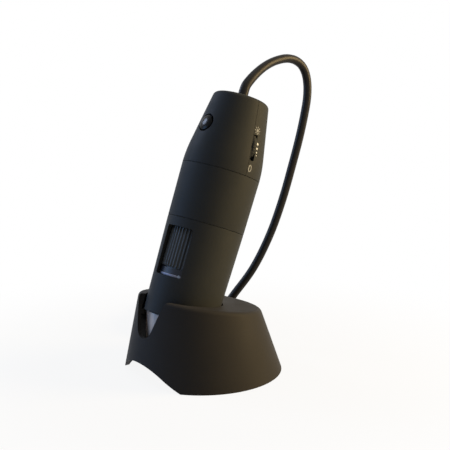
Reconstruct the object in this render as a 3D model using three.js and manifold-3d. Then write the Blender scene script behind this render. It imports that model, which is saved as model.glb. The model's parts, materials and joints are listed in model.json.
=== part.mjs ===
// A handheld USB digital microscope standing in its leaning cradle, in millimetres, +Z up.
// The front, with the focus window, the snapshot button and the notch of the cradle, faces -Y.
// The brightness thumbwheel is on the +X side.
// The origin is under the middle of the box that the cradle and the microscope fill, on the table.
import * as THREE from "three";
import { mergeVertices } from "three/addons/utils/BufferGeometryUtils.js";
import Module from "manifold-3d";

const wasm = await Module();
wasm.setup();

// Clearances that many pieces share
const fit = 0.3;
const runningGap = 0.3;
const overrun = 4;
const weld = 0.0005;

// Cradle
const footRadius = 35.75;
const rimHalfWidth = 26.95;
const rimHalfLength = 27.95;
const rimCentreY = -1.5;
const rimHeight = 31.75;
const rimTiltDegrees = 10.7;
const rimRound = 1.8;
const cradleWall = 1.6;
const socketWall = 1.8;
const socketPlay = 0.65;
const socketDepth = 11;
const ledgeThickness = 2;
const ledgePlay = 0.5;
const cradleRibThickness = 1.6;
const cradleRibDepth = 15;
const notchBottom = 19.5;
const notchRound = 5.8;
const notchFlankDegrees = 21;
const archHalfWidth = 22.6;
const archHeight = 8.9;
const archRound = 28;

// How the microscope stands in the cradle
const leanDegrees = 20;
const axisFootY = -22;
const lowerEndHeight = 26.8;

// Outside of the microscope, along its axis from the lower end of the barrel
const lowerEndRadius = 16.2;
const lowerSeamRadius = 17.35;
const upperSeamRadius = 17.75;
const crownRadius = 12.6;
const lowerLength = 42.9;
const midLength = 24.4;
const upperLength = 34.4;
const shoulderLength = 10;
const crownRound = 2.2;
const seamGap = 0.36;
const seamEdge = 0.25;

// Walls and necks of the housings
const ringBoreWall = 1;
const shelfWidth = 1;
const partitionHeight = 6.2;
const partitionThickness = 2;
const partitionRadius = 7.4;
const midWall = 1.8;
const midShelf = 1.6;
const midNeckWall = 1.6;
const midNeckLength = 3.6;
const shellWall = 1.8;
const shellNeckWall = 1.4;
const shellNeckLength = 4.5;
const shellShelf = 1.4;

// Focus window in the lower barrel
const windowBottom = 16.9;
const windowHeight = 21.8;
const windowWidth = 14.4;
const windowCorner = 0.9;
const windowTurnDegrees = 13.5;

// Focus ring and its scale
const ribCount = 54;
const ribDepth = 0.7;
const ribCrestShare = 0.42;
const ribFootShare = 0.22;
const focusRingWall = 1.5;
const scaleHeight = 4;
const scaleThickness = 0.8;
const scaleBevel = 0.3;

// Lens carrier and lenses
const carrierPlay = 0.4;
const carrierHeight = 13;
const carrierRise = 7.3;
const carrierFlangeHeight = 3.6;
const carrierBodyRadius = 8.2;
const carrierLip = 0.8;
const frontLensRadius = 5.2;
const frontLensThickness = 2.6;
const rearLensRadius = 3.8;
const rearLensThickness = 2;
const lensEdge = 0.9;
const guidePinRadius = 0.8;
const guidePinCircle = 9.9;

// Lens nose and its lamps
const noseTopInset = 1.3;
const noseLength = 14;
const noseTaperDegrees = 14;
const noseWall = 1.2;
const noseRound = 0.8;
const noseSpigotLength = 4;
const ledBoardThickness = 1.6;
const ledBoardHole = 6.5;
const ledCount = 8;
const ledCircle = 9.9;
const ledRadius = 1.5;
const ledBodyLength = 3.4;

// Sensor stack in the middle barrel
const sensorHolderThickness = 2.6;
const sensorAperture = 5.6;
const sensorBoardThickness = 1.6;
const sensorBoardInset = 1.6;
const sensorSize = 7.6;
const sensorThickness = 1.1;
const ribbonWidth = 8;
const ribbonThickness = 0.35;

// Main board in the upper housing
const mainBoardDepth = 7;
const mainBoardThickness = 1.6;
const mainBoardBottom = 58;
const mainBoardTop = 92;
const mainBoardPlay = 0.6;
const postRadius = 2.1;
const postX = 6.2;
const lowPostZ = 71.5;
const highPostZ = 88.6;
const screwRadius = 0.8;
const screwHeadRadius = 1.7;
const screwHeadHeight = 1.2;
const screwLength = 5;
const chipSize = 7;
const chipThickness = 1.1;
const chipZ = 66;
const crystalLength = 8;
const crystalWidth = 3.4;
const crystalHeight = 2.6;
const crystalZ = 79;
const connectorWidth = 8;
const connectorHeight = 4;
const connectorDepth = 3.6;
const connectorZ = 89.4;

// Snapshot button and the switch behind it
const buttonHeight = 85.7;
const buttonHoleRadius = 4.3;
const buttonCapRadius = 3.85;
const buttonProud = 0.55;
const buttonCapDepth = 1.6;
const buttonFlangeRadius = 5;
const buttonFlange = 0.8;
const buttonStemRadius = 1.5;
const buttonTravel = 0.5;
const switchSize = 6;
const switchHeight = 3.2;
const plungerRadius = 1.5;
const plungerProud = 0.9;
const plungerPlay = 0.35;

// Brightness thumbwheel and its potentiometer
const dialHeight = 79.9;
const dialRadius = 8.5;
const dialThickness = 2;
const dialProud = 1;
const dialFrontY = 0.45;
const dialNotchCount = 36;
const dialNotchDepth = 0.35;
const dialHubRadius = 1.8;
const slotLength = 11;
const slotPlay = 0.3;
const slotRound = 0.6;
const potSize = 8;
const potBodyPlay = 0.35;

// Cable grommet
const grommetHoleRadius = 3.1;
const grommetFlangeRadius = 4.1;
const grommetFlange = 0.9;

// Cable, its coil, its tie and its plug
const cableDiameter = 4;
const cableSides = 8;
const coilSides = 6;
const coilSteps = 24;
const coilLayers = 2;
const coilTurnsPerLayer = 4.125;
const coilPitch = 4.5;
const coilOuterRadius = 30.4;
const parkTurnDegrees = 53;
const coilAcross = -6.5;
const coilBehind = 69.1;
const tailBend = 10;
const tieThickness = 0.5;
const tieWidth = 5;
const tieRound = 0.9;
const plugHeight = 7.8;
const plugWidth = 15.6;
const plugLength = 17;
const plugRound = 2.4;
const plugReliefLength = 6.5;
const plugReliefRadius = 3.5;
const plugStart = -26.4;
const plugBehind = 110.3;
const plugShellWidth = 12;
const plugShellHeight = 4.5;
const plugShellLength = 11.8;
const plugShellWall = 0.4;
const plugTongueHeight = 1.8;
const plugTongueInset = 1.1;

// How finely round things are drawn
const bodySegments = 50;
const innerSegments = 36;
const smallSegments = 20;
const tinySegments = 10;
const cornerSteps = 3;

// Places that follow from the sizes above
const radians = THREE.MathUtils.degToRad;
const lean = radians(leanDegrees);
const rimTilt = radians(rimTiltDegrees);
const parkTurn = radians(parkTurnDegrees);
const upperSeamZ = lowerLength + midLength;
const crownZ = upperSeamZ + upperLength;
const ringBoreRadius = lowerEndRadius - ringBoreWall;
const ledBoreRadius = ringBoreRadius - shelfWidth;
const focusRingRadius = ringBoreRadius - runningGap;
const focusRingInner = focusRingRadius - ribDepth - focusRingWall;
const scaleSeatRadius = focusRingRadius - scaleThickness - fit;
const ringShelfZ = windowBottom - fit - runningGap;
const focusRingBottom = ringShelfZ + runningGap;
const midNeckBottom = lowerLength - midNeckLength;
const focusRingTop = midNeckBottom - runningGap;
const midNeckRadius = ringBoreRadius - fit;
const midNeckInner = midNeckRadius - midNeckWall;
const midBore = lowerSeamRadius - midWall;
const midShelfTop = lowerLength + seamGap / 2 + midShelf;
const shellNeckRadius = midBore - fit;
const shellNeckInner = shellNeckRadius - shellNeckWall;
const noseTopRadius = lowerEndRadius - noseTopInset;
const noseTaper = radians(noseTaperDegrees);
const halfSeam = seamGap / 2;
const taperSlope = (upperSeamRadius - crownRadius) / (upperLength - shoulderLength / 2);

// Radius of the microscope's outside at a height along its axis
function outsideRadius(z) {
  if (z <= lowerLength) {
    return THREE.MathUtils.lerp(lowerEndRadius, lowerSeamRadius, z / lowerLength);
  }
  if (z <= upperSeamZ) {
    return THREE.MathUtils.lerp(lowerSeamRadius, upperSeamRadius, (z - lowerLength) / midLength);
  }
  const up = z - upperSeamZ;
  if (up <= shoulderLength) {
    return upperSeamRadius - (taperSlope * up * up) / (2 * shoulderLength);
  }
  return upperSeamRadius - taperSlope * (up - shoulderLength / 2);
}

// A geometry as a solid for joining and cutting
function solidOf(geometry) {
  const plain = geometry.clone();
  plain.deleteAttribute("normal");
  plain.deleteAttribute("uv");
  const merged = mergeVertices(plain, weld);
  return new wasm.Manifold(
    new wasm.Mesh({
      numProp: 3,
      vertProperties: merged.attributes.position.array,
      triVerts: new Uint32Array(merged.index.array),
    }),
  );
}

// A solid back as a geometry
function geometryOf(solid) {
  const mesh = solid.getMesh();
  const geometry = new THREE.BufferGeometry();
  geometry.setAttribute("position", new THREE.BufferAttribute(mesh.vertProperties, 3));
  geometry.setIndex(new THREE.BufferAttribute(mesh.triVerts, 1));
  geometry.computeVertexNormals();
  return geometry;
}

function cut(geometry, ...tools) {
  return geometryOf(tools.reduce((left, tool) => left.subtract(solidOf(tool)), solidOf(geometry)));
}

function join(geometry, ...others) {
  return geometryOf(others.reduce((sum, other) => sum.add(solidOf(other)), solidOf(geometry)));
}

function common(geometry, other) {
  return geometryOf(solidOf(geometry).intersect(solidOf(other)));
}

// An outline of [x, y, radius] corners, each corner with a radius drawn as an arc
function rounded(corners, steps = cornerSteps) {
  const points = [];
  corners.forEach(([x, y, radius = 0], i) => {
    const corner = new THREE.Vector2(x, y);
    if (!radius) {
      points.push(corner);
      return;
    }
    const [xBefore, yBefore] = corners[(i + corners.length - 1) % corners.length];
    const [xAfter, yAfter] = corners[(i + 1) % corners.length];
    const back = new THREE.Vector2(xBefore, yBefore).sub(corner);
    const ahead = new THREE.Vector2(xAfter, yAfter).sub(corner);
    const halfAngle = Math.acos(back.dot(ahead) / back.length() / ahead.length()) / 2;
    const longest = Math.min(back.length(), ahead.length()) / 2;
    const reach = Math.min(radius / Math.tan(halfAngle), longest);
    back.normalize();
    ahead.normalize();
    const start = corner.clone().addScaledVector(back, reach);
    const inward = back.clone().add(ahead).normalize();
    const middle = corner.clone().addScaledVector(inward, reach / Math.cos(halfAngle));
    const arcRadius = reach * Math.tan(halfAngle);
    const first = start.clone().sub(middle).angle();
    const last = corner.clone().addScaledVector(ahead, reach).sub(middle).angle();
    const turn = Math.atan2(Math.sin(last - first), Math.cos(last - first));
    for (let step = 0; step <= steps; step += 1) {
      const angle = first + (turn * step) / steps;
      points.push(new THREE.Vector2(Math.cos(angle), Math.sin(angle)).multiplyScalar(arcRadius).add(middle));
    }
  });
  return points;
}

// A body of revolution about Z from a closed outline of [radius, z, round] corners
function revolve(corners, segments = bodySegments, steps = cornerSteps) {
  const outline = rounded(corners, steps);
  if (THREE.ShapeUtils.area(outline) < 0) {
    outline.reverse();
  }
  const onAxis = outline.some((point) => point.x === 0);
  if (onAxis) {
    while (outline[0].x !== 0 || outline.at(-1).x !== 0) {
      outline.push(outline.shift());
    }
  } else {
    outline.push(outline[0].clone());
  }
  return new THREE.LatheGeometry(outline, segments).rotateX(Math.PI / 2).rotateZ(Math.PI / 2);
}

// A prism from an outline in X and Y, between two heights
function prism(outline, bottom, top, holes = []) {
  const shape = new THREE.Shape(outline);
  holes.forEach((hole) => shape.holes.push(new THREE.Path(hole)));
  const options = { depth: top - bottom, bevelEnabled: false, steps: 1 };
  return new THREE.ExtrudeGeometry(shape, options).translate(0, 0, bottom);
}

function circlePoints(radius, segments, x = 0, y = 0) {
  return Array.from({ length: segments }, (unused, i) => {
    const angle = (2 * Math.PI * i) / segments;
    return new THREE.Vector2(x + radius * Math.cos(angle), y + radius * Math.sin(angle));
  });
}

function disc(radius, bottom, top, segments = smallSegments) {
  return prism(circlePoints(radius, segments), bottom, top);
}

// A box between two corners
function block(low, high) {
  const size = high.map((value, i) => value - low[i]);
  const middle = high.map((value, i) => (value + low[i]) / 2);
  return new THREE.BoxGeometry(...size).translate(...middle);
}

// A rectangle with round corners, centred on a point
function roundRectangle(width, height, radius, x = 0, y = 0, steps = cornerSteps) {
  const right = x + width / 2;
  const left = x - width / 2;
  const top = y + height / 2;
  const bottom = y - height / 2;
  const corners = [
    [right, bottom, radius],
    [right, top, radius],
    [left, top, radius],
    [left, bottom, radius],
  ];
  return rounded(corners, steps);
}

// Turns a piece that was drawn upright so that its height runs along +Y and its X stays X
function alongY(geometry) {
  return geometry.rotateX(-Math.PI / 2);
}

// Materials
function material(color, roughness, metalness = 0) {
  return new THREE.MeshStandardMaterial({ color, roughness, metalness });
}

const softBlack = material(0x26262a, 0.62);
const cradleBlack = material(0x242428, 0.68);
const glossBlack = material(0x0b0b0e, 0.12);
const ringBlack = material(0x202428, 0.42);
const scaleSilver = material(0xb4b8c4, 0.35, 0.4);
const noseGrey = material(0xb8b6ba, 0.4);
const lensGlass = material(0xcfe0e6, 0.05);
const boardGreen = material(0x1f5a37, 0.5);
const ledWhite = material(0xf1f0e4, 0.2);
const chipBlack = material(0x1a1a1a, 0.5);
const steel = material(0xbfc1c4, 0.3, 1);
const pinSteel = material(0xaeb1b5, 0.25, 1);
const innerBlack = material(0x1c1d1f, 0.6);
const ribbonAmber = material(0xb86a22, 0.5);
const creamPlastic = material(0xe4ddc8, 0.5);
const cableBlack = material(0x1d1d1f, 0.48);
const tieBlack = material(0x151517, 0.8);
const whitePlastic = material(0xe9e9e6, 0.45);

function piece(parent, name, geometry, look) {
  const mesh = new THREE.Mesh(geometry, look);
  mesh.name = name;
  parent.add(mesh);
  return mesh;
}

// The frame of the microscope: Z along its axis, zero at the lower end of the barrel
function placeOnAxis(target) {
  target.rotation.x = -lean;
  target.position.set(
    0,
    axisFootY + lowerEndHeight * Math.sin(lean),
    lowerEndHeight * Math.cos(lean),
  );
  target.updateMatrixWorld(true);
  return target;
}

// Cradle: a skin between the round foot and the tilted rim. The inset draws its hollow
function cradleBody(inset, below, topInset) {
  const rings = [];
  const up = new THREE.Vector3(0, Math.sin(rimTilt), Math.cos(rimTilt));
  const centre = new THREE.Vector3(0, rimCentreY, rimHeight).addScaledVector(up, -topInset);
  const edge = Math.max(rimRound - inset, 0);
  const bend = edge > 0 ? cornerSteps : 0;
  const outline = (angle) => {
    const along = (rimHalfLength - inset) * Math.sin(angle);
    const rim = centre.clone();
    rim.add(new THREE.Vector3((rimHalfWidth - inset) * Math.cos(angle), 0, 0));
    rim.add(new THREE.Vector3(0, along * Math.cos(rimTilt), -along * Math.sin(rimTilt)));
    const foot = new THREE.Vector3(Math.cos(angle), Math.sin(angle), 0).multiplyScalar(footRadius - inset);
    const start = foot.clone().addScaledVector(foot.clone().sub(rim).divideScalar(rim.z), below);
    const points = [start];
    const side = rim.clone().addScaledVector(foot.clone().sub(rim).normalize(), edge);
    const flat = rim.clone().addScaledVector(centre.clone().sub(rim).normalize(), edge);
    for (let step = 0; step <= bend; step += 1) {
      const t = bend ? step / bend : 0;
      const point = side.clone().multiplyScalar((1 - t) * (1 - t));
      point.addScaledVector(rim, 2 * t * (1 - t)).addScaledVector(flat, t * t);
      points.push(point);
    }
    return points;
  };
  for (let i = 0; i < bodySegments; i += 1) {
    rings.push(outline((2 * Math.PI * i) / bodySegments));
  }
  const rows = rings[0].length;
  const positions = rings.flat().flatMap((point) => point.toArray());
  const footCentre = positions.length / 3;
  positions.push(0, 0, -below, ...centre.toArray());
  const faces = [];
  for (let i = 0; i < bodySegments; i += 1) {
    const here = i * rows;
    const next = ((i + 1) % bodySegments) * rows;
    for (let row = 0; row + 1 < rows; row += 1) {
      faces.push(here + row, next + row, next + row + 1, here + row, next + row + 1, here + row + 1);
    }
    faces.push(footCentre, next, here, footCentre + 1, here + rows - 1, next + rows - 1);
  }
  const geometry = new THREE.BufferGeometry();
  geometry.setAttribute("position", new THREE.Float32BufferAttribute(positions, 3));
  geometry.setIndex(faces);
  return geometry;
}

function alongAxis(geometry) {
  return geometry.applyMatrix4(placeOnAxis(new THREE.Object3D()).matrixWorld);
}

// The V notch in the front of the socket, through which the lens nose shows
function notchTool() {
  const flank = radians(notchFlankDegrees);
  const middle = notchBottom + notchRound;
  const top = rimHeight + rimHalfLength;
  const points = [];
  for (let step = 0; step <= 2 * cornerSteps; step += 1) {
    const angle = THREE.MathUtils.lerp(-Math.PI + flank, -flank, step / (2 * cornerSteps));
    points.push(new THREE.Vector2(notchRound * Math.cos(angle), middle + notchRound * Math.sin(angle)));
  }
  const last = points.at(-1);
  const halfTop = last.x + (top - last.y) * Math.tan(flank);
  points.push(new THREE.Vector2(halfTop, top), new THREE.Vector2(-halfTop, top));
  return prism(points, -axisFootY / 2, footRadius + overrun).rotateX(Math.PI / 2);
}

// The arch in the foot, which lets a specimen slide in under the lens
function archTool() {
  const middle = archHeight - archRound;
  const reach = Math.hypot(archHalfWidth, middle);
  const touch = Math.atan2(-middle, archHalfWidth) + Math.acos(archRound / reach);
  const points = [];
  for (let step = 0; step <= 2 * cornerSteps; step += 1) {
    const angle = THREE.MathUtils.lerp(touch, Math.PI - touch, step / (2 * cornerSteps));
    points.push(new THREE.Vector2(archRound * Math.cos(angle), middle + archRound * Math.sin(angle)));
  }
  const slope = points[0].y / (archHalfWidth - points[0].x);
  const halfFoot = archHalfWidth + overrun / slope;
  points.push(new THREE.Vector2(-halfFoot, -overrun), new THREE.Vector2(halfFoot, -overrun));
  return prism(points, footRadius / 2, footRadius + overrun).rotateX(Math.PI / 2);
}

function buildCradle(parent) {
  const outer = cradleBody(0, 0, 0);
  const hollow = cradleBody(cradleWall, overrun, cradleWall);
  const socketRadius = outsideRadius(socketDepth) + socketPlay;
  const ledgeZ = -fit - ledgeThickness;
  const high = rimHalfLength;
  const sleeve = alongAxis(disc(socketRadius + socketWall, ledgeZ, high, bodySegments));
  const bore = alongAxis(disc(socketRadius, -fit, high + overrun, bodySegments));
  const ledgeHole = alongAxis(disc(noseTopRadius + ledgePlay, ledgeZ - overrun, overrun, bodySegments));
  const ribLow = rimHeight - cradleRibDepth;
  const halfRib = cradleRibThickness / 2;
  const ribTop = high + rimHeight;
  const acrossY = axisFootY / 2;
  const ribs = [
    block([-footRadius, acrossY - halfRib, ribLow], [footRadius, acrossY + halfRib, ribTop]),
    block([-halfRib, 0, ribLow - cradleRibDepth / 3], [halfRib, footRadius, ribTop]),
  ];
  let shell = solidOf(outer).subtract(solidOf(hollow));
  shell = shell.add(solidOf(sleeve).intersect(solidOf(outer)));
  ribs.forEach((rib) => {
    const kept = solidOf(rib).intersect(solidOf(outer));
    shell = shell.add(kept);
  });
  [bore, ledgeHole, notchTool(), archTool()].forEach((tool) => {
    shell = shell.subtract(solidOf(tool));
  });
  const below = alongAxis(disc(socketRadius + socketWall, ledgeZ - footRadius, ledgeZ, bodySegments));
  shell = shell.subtract(solidOf(below).intersect(solidOf(hollow)));
  piece(parent, "cradle_shell", geometryOf(shell), cradleBlack);
}

// Lower barrel with its window, ring shelf and lamp partition
function buildLowerBarrel(parent) {
  const top = lowerLength - halfSeam;
  const shelfTop = partitionHeight + partitionThickness;
  const body = revolve([
    [lowerEndRadius - seamEdge, 0],
    [outsideRadius(seamEdge), seamEdge],
    [outsideRadius(top - seamEdge), top - seamEdge],
    [outsideRadius(top) - seamEdge, top],
    [ringBoreRadius, top],
    [ringBoreRadius, ringShelfZ],
    [ledBoreRadius, ringShelfZ],
    [ledBoreRadius, shelfTop],
    [partitionRadius, shelfTop],
    [partitionRadius, partitionHeight],
    [ledBoreRadius, partitionHeight],
    [ledBoreRadius, 0],
  ]);
  const middle = windowBottom + windowHeight / 2;
  const opening = prism(
    roundRectangle(windowWidth, windowHeight, windowCorner, 0, middle),
    carrierBodyRadius,
    lowerSeamRadius + overrun,
  );
  opening.rotateX(Math.PI / 2).rotateZ(radians(windowTurnDegrees));
  const holes = guidePinPlaces().map(([x, y]) => {
    const outline = circlePoints(guidePinRadius + fit, tinySegments, x, y);
    return prism(outline, partitionHeight - overrun, shelfTop + overrun);
  });
  piece(parent, "lower_barrel", cut(body, opening, ...holes), softBlack);
}

function guidePinPlaces() {
  return [
    [guidePinCircle, 0],
    [-guidePinCircle, 0],
  ];
}

function buildMidBarrel(parent) {
  const bottom = lowerLength + halfSeam;
  const top = upperSeamZ - halfSeam;
  const body = revolve([
    [midNeckInner, midNeckBottom],
    [midNeckRadius, midNeckBottom],
    [midNeckRadius, bottom],
    [outsideRadius(bottom) - seamEdge, bottom],
    [outsideRadius(bottom + seamEdge), bottom + seamEdge],
    [outsideRadius(top - seamEdge), top - seamEdge],
    [outsideRadius(top) - seamEdge, top],
    [midBore, top],
    [midBore, midShelfTop],
    [midNeckInner, midShelfTop],
  ]);
  piece(parent, "mid_barrel", body, softBlack);
}

// Both halves of the upper housing, as one hollow body that the parting line then splits
function upperHousing() {
  const bottom = upperSeamZ + halfSeam;
  const floor = bottom + shellShelf;
  const outerCurve = [];
  const innerCurve = [];
  const steps = 2 * cornerSteps;
  for (let step = 1; step <= steps; step += 1) {
    const z = upperSeamZ + (shoulderLength * step) / steps;
    outerCurve.push([outsideRadius(z), z]);
    if (z > floor && step % 2 === 0) {
      innerCurve.unshift([outsideRadius(z) - shellWall, z]);
    }
  }
  const ceiling = crownZ - shellWall;
  return revolve([
    [shellNeckInner, upperSeamZ - shellNeckLength],
    [shellNeckRadius, upperSeamZ - shellNeckLength],
    [shellNeckRadius, bottom],
    [outsideRadius(bottom) - seamEdge, bottom],
    [outsideRadius(bottom + seamEdge), bottom + seamEdge],
    ...outerCurve,
    [outsideRadius(crownZ), crownZ, crownRound],
    [grommetHoleRadius, crownZ],
    [grommetHoleRadius, ceiling],
    [outsideRadius(ceiling) - shellWall, ceiling, crownRound / 2],
    ...innerCurve,
    [outsideRadius(floor) - shellWall, floor],
    [shellNeckInner, floor],
  ]);
}

// The frame of the button: Z out of the tapered front, zero on the surface
function placeButton(target) {
  const taper = Math.atan(taperSlope);
  target.rotation.x = Math.PI / 2 - taper;
  target.position.set(0, -outsideRadius(buttonHeight), buttonHeight);
  target.updateMatrixWorld(true);
  return target;
}

function onButton(geometry) {
  return geometry.applyMatrix4(placeButton(new THREE.Object3D()).matrixWorld);
}

// The slot for the thumbwheel, and inside the wall the round room that the wheel turns in
function slotTool() {
  const back = dialFrontY + dialThickness + slotPlay;
  const front = dialFrontY - slotPlay;
  const slot = prism(
    roundRectangle(back - front, slotLength, slotRound, (back + front) / 2, 0),
    dialCentreX(),
    outsideRadius(dialHeight) + overrun,
  );
  const room = alongY(disc(dialRadius + fit, front, back, innerSegments)).translate(dialCentreX(), 0, 0);
  return join(slot.rotateX(Math.PI / 2).rotateZ(Math.PI / 2), room).translate(0, 0, dialHeight);
}

function dialCentreX() {
  return outsideRadius(dialHeight) + dialProud - dialRadius;
}

function screwPlaces() {
  return [
    [-postX, lowPostZ],
    [postX, highPostZ],
  ];
}

function buildUpperShells(parent) {
  const whole = upperHousing();
  const wide = upperSeamRadius + overrun;
  const low = upperSeamZ - shellNeckLength - overrun;
  const high = crownZ + overrun;
  const slot = slotTool();
  const backHalf = common(whole, block([-wide, fit / 2, low], [wide, wide, high]));
  piece(parent, "upper_back_shell", cut(backHalf, slot), softBlack);

  const frontHalf = common(whole, block([-wide, -wide, low], [wide, -fit / 2, high]));
  const boardFront = -mainBoardDepth - fit;
  const posts = screwPlaces().map(([x, z]) => {
    const reach = Math.sqrt(outsideRadius(z) ** 2 - x * x) - shellWall / 2;
    return alongY(disc(postRadius, -reach, boardFront)).translate(x, 0, z);
  });
  const bores = screwPlaces().map(([x, z]) => {
    const bore = disc(screwRadius + fit, boardFront - screwLength, boardFront + overrun, tinySegments);
    return alongY(bore).translate(x, 0, z);
  });
  const seat = buttonProud - buttonCapDepth;
  const hole = onButton(disc(buttonHoleRadius, seat - overrun, overrun, smallSegments));
  const pocket = onButton(disc(buttonFlangeRadius + fit, seat - overrun, seat + fit, smallSegments));
  const front = cut(join(frontHalf, ...posts), ...bores, hole, pocket, slot);
  piece(parent, "upper_front_shell", front, softBlack);
}

// Focus ring: axial ribs above a plain seat for the scale
function buildFocusRing(parent) {
  const share = (2 * Math.PI) / ribCount;
  const ribs = [];
  for (let i = 0; i < ribCount; i += 1) {
    [
      [-ribCrestShare / 2, focusRingRadius],
      [ribCrestShare / 2, focusRingRadius],
      [1 / 2 - ribFootShare / 2, focusRingRadius - ribDepth],
      [1 / 2 + ribFootShare / 2, focusRingRadius - ribDepth],
    ].forEach(([turn, radius]) => {
      const angle = share * (i + turn);
      ribs.push(new THREE.Vector2(radius * Math.cos(angle), radius * Math.sin(angle)));
    });
  }
  const seatTop = focusRingBottom + scaleHeight + fit;
  const bore = circlePoints(focusRingInner, innerSegments);
  const upper = prism(ribs, seatTop, focusRingTop, [bore]);
  const seat = revolve(
    [
      [focusRingInner, focusRingBottom],
      [scaleSeatRadius, focusRingBottom],
      [scaleSeatRadius, seatTop + fit],
      [focusRingInner, seatTop + fit],
    ],
    innerSegments,
  );
  piece(parent, "focus_ring", join(upper, seat), ringBlack);

  const scaleBottom = focusRingBottom + fit;
  const scaleTop = seatTop - fit;
  const scale = revolve([
    [scaleSeatRadius + fit, scaleBottom],
    [focusRingRadius, scaleBottom],
    [focusRingRadius - scaleBevel, scaleTop],
    [scaleSeatRadius + fit, scaleTop],
  ]);
  piece(parent, "scale_ring", scale, scaleSilver);
}

// A lens with two curved faces and a plain edge, resting at a height
function lens(radius, thickness, bottom) {
  const rows = cornerSteps;
  const bulge = (thickness - lensEdge) / 2;
  const outline = [];
  for (let step = 0; step <= rows; step += 1) {
    const share = step / rows;
    outline.push([radius * share, bottom + bulge * share * share]);
  }
  for (let step = rows; step >= 0; step -= 1) {
    const share = step / rows;
    outline.push([radius * share, bottom + thickness - bulge * share * share]);
  }
  return revolve(outline, smallSegments);
}

function buildLensCarrier(parent) {
  const bottom = partitionHeight + partitionThickness + carrierRise;
  const top = bottom + carrierHeight;
  const radius = focusRingInner - carrierPlay;
  const frontSeat = bottom + carrierLip;
  const frontTop = frontSeat + frontLensThickness + fit + fit;
  const rearSeat = top - carrierLip - rearLensThickness - fit - fit;
  const body = revolve(
    [
      [frontLensRadius - carrierLip, bottom],
      [carrierBodyRadius, bottom],
      [carrierBodyRadius, top - carrierFlangeHeight],
      [radius, top - carrierFlangeHeight],
      [radius, top],
      [rearLensRadius + fit, top],
      [rearLensRadius + fit, rearSeat],
      [rearLensRadius - carrierLip, rearSeat],
      [rearLensRadius - carrierLip, frontTop],
      [frontLensRadius + fit, frontTop],
      [frontLensRadius + fit, frontSeat],
      [frontLensRadius - carrierLip, frontSeat],
    ],
    innerSegments,
  );
  const holes = guidePinPlaces().map(([x, y]) =>
    prism(circlePoints(guidePinRadius + fit, tinySegments, x, y), bottom - overrun, top + overrun),
  );
  piece(parent, "lens_carrier", cut(body, ...holes), innerBlack);
  piece(parent, "front_lens", lens(frontLensRadius, frontLensThickness, frontSeat + fit), lensGlass);
  piece(parent, "rear_lens", lens(rearLensRadius, rearLensThickness, rearSeat + fit), lensGlass);
}

// Nose: a thin cone with a spigot that plugs into the barrel
function buildNose(parent) {
  const narrow = noseLength * Math.tan(noseTaper);
  const spigotRadius = ledBoreRadius - fit;
  const lip = noseTopRadius - narrow;
  const cap = revolve(
    [
      [spigotRadius - noseWall, noseSpigotLength],
      [spigotRadius, noseSpigotLength],
      [spigotRadius, -fit],
      [noseTopRadius, -fit],
      [lip, -noseLength, noseRound],
      [lip - 2 * noseWall, -noseLength],
      [lip - 2 * noseWall, noseWall - noseLength],
      [lip - noseWall, noseWall - noseLength],
      [spigotRadius - noseWall, -fit - noseWall],
    ],
    innerSegments,
  );
  piece(parent, "nose_cap", cap, noseGrey);
}

function buildLamps(parent) {
  const bottom = noseSpigotLength + fit;
  const board = prism(
    circlePoints(ledBoreRadius - fit, innerSegments),
    bottom,
    Math.min(bottom + ledBoardThickness, partitionHeight - fit),
    [circlePoints(ledBoardHole, innerSegments)],
  );
  piece(parent, "led_board", board, boardGreen);
  for (let i = 0; i < ledCount; i += 1) {
    const angle = (2 * Math.PI * (i + 1 / 2)) / ledCount;
    const top = bottom - fit;
    const dome = top - ledBodyLength;
    const corners = [
      [0, top],
      [ledRadius, top],
      [ledRadius, dome],
    ];
    for (let step = 1; step < cornerSteps; step += 1) {
      const down = (Math.PI * step) / (2 * cornerSteps);
      corners.push([ledRadius * Math.cos(down), dome - ledRadius * Math.sin(down)]);
    }
    corners.push([0, dome - ledRadius]);
    const lamp = revolve(corners, tinySegments);
    lamp.translate(ledCircle * Math.cos(angle), ledCircle * Math.sin(angle), 0);
    piece(parent, `led_${i + 1}`, lamp, ledWhite);
  }
}

function buildSensor(parent) {
  const holderBottom = midShelfTop + fit;
  const holderTop = holderBottom + sensorHolderThickness;
  const holderRadius = midBore - fit;
  const pinTop = holderTop - fit - fit;
  const holder = prism(circlePoints(holderRadius, innerSegments), holderBottom, holderTop, [
    circlePoints(sensorAperture, smallSegments),
  ]);
  const sockets = guidePinPlaces().map(([x, y]) =>
    prism(circlePoints(guidePinRadius + fit, tinySegments, x, y), holderBottom - overrun, pinTop + fit),
  );
  piece(parent, "sensor_holder", cut(holder, ...sockets), innerBlack);
  guidePinPlaces().forEach(([x, y], i) => {
    const pin = prism(circlePoints(guidePinRadius, tinySegments, x, y), partitionHeight + fit, pinTop);
    piece(parent, `guide_pin_${i + 1}`, pin, pinSteel);
  });

  const boardBottom = holderTop + fit;
  const boardTop = boardBottom + sensorBoardThickness;
  piece(
    parent,
    "sensor_board",
    disc(holderRadius - sensorBoardInset, boardBottom, boardTop, innerSegments),
    boardGreen,
  );
  const half = sensorSize / 2;
  const chipTop = boardBottom - fit;
  const chip = block([-half, -half, chipTop - sensorThickness], [half, half, chipTop]);
  piece(parent, "image_sensor", chip, chipBlack);

  // The ribbon leaves the sensor board, bends up and meets the foot of the main board
  const back = -mainBoardDepth + mainBoardThickness + fit;
  const landing = mainBoardBottom + ribbonWidth / 2;
  const low = boardTop + fit;
  const bend = ribbonThickness * 3;
  const corners = [
    [back + ribbonWidth, low],
    [back, low, bend + ribbonThickness],
    [back, landing],
    [back + ribbonThickness, landing],
    [back + ribbonThickness, low + ribbonThickness, bend],
    [back + ribbonWidth, low + ribbonThickness],
  ];
  const strip = prism(rounded(corners), -ribbonWidth / 2, ribbonWidth / 2);
  piece(parent, "sensor_ribbon", strip.rotateX(Math.PI / 2).rotateZ(Math.PI / 2), ribbonAmber);
}

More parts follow.
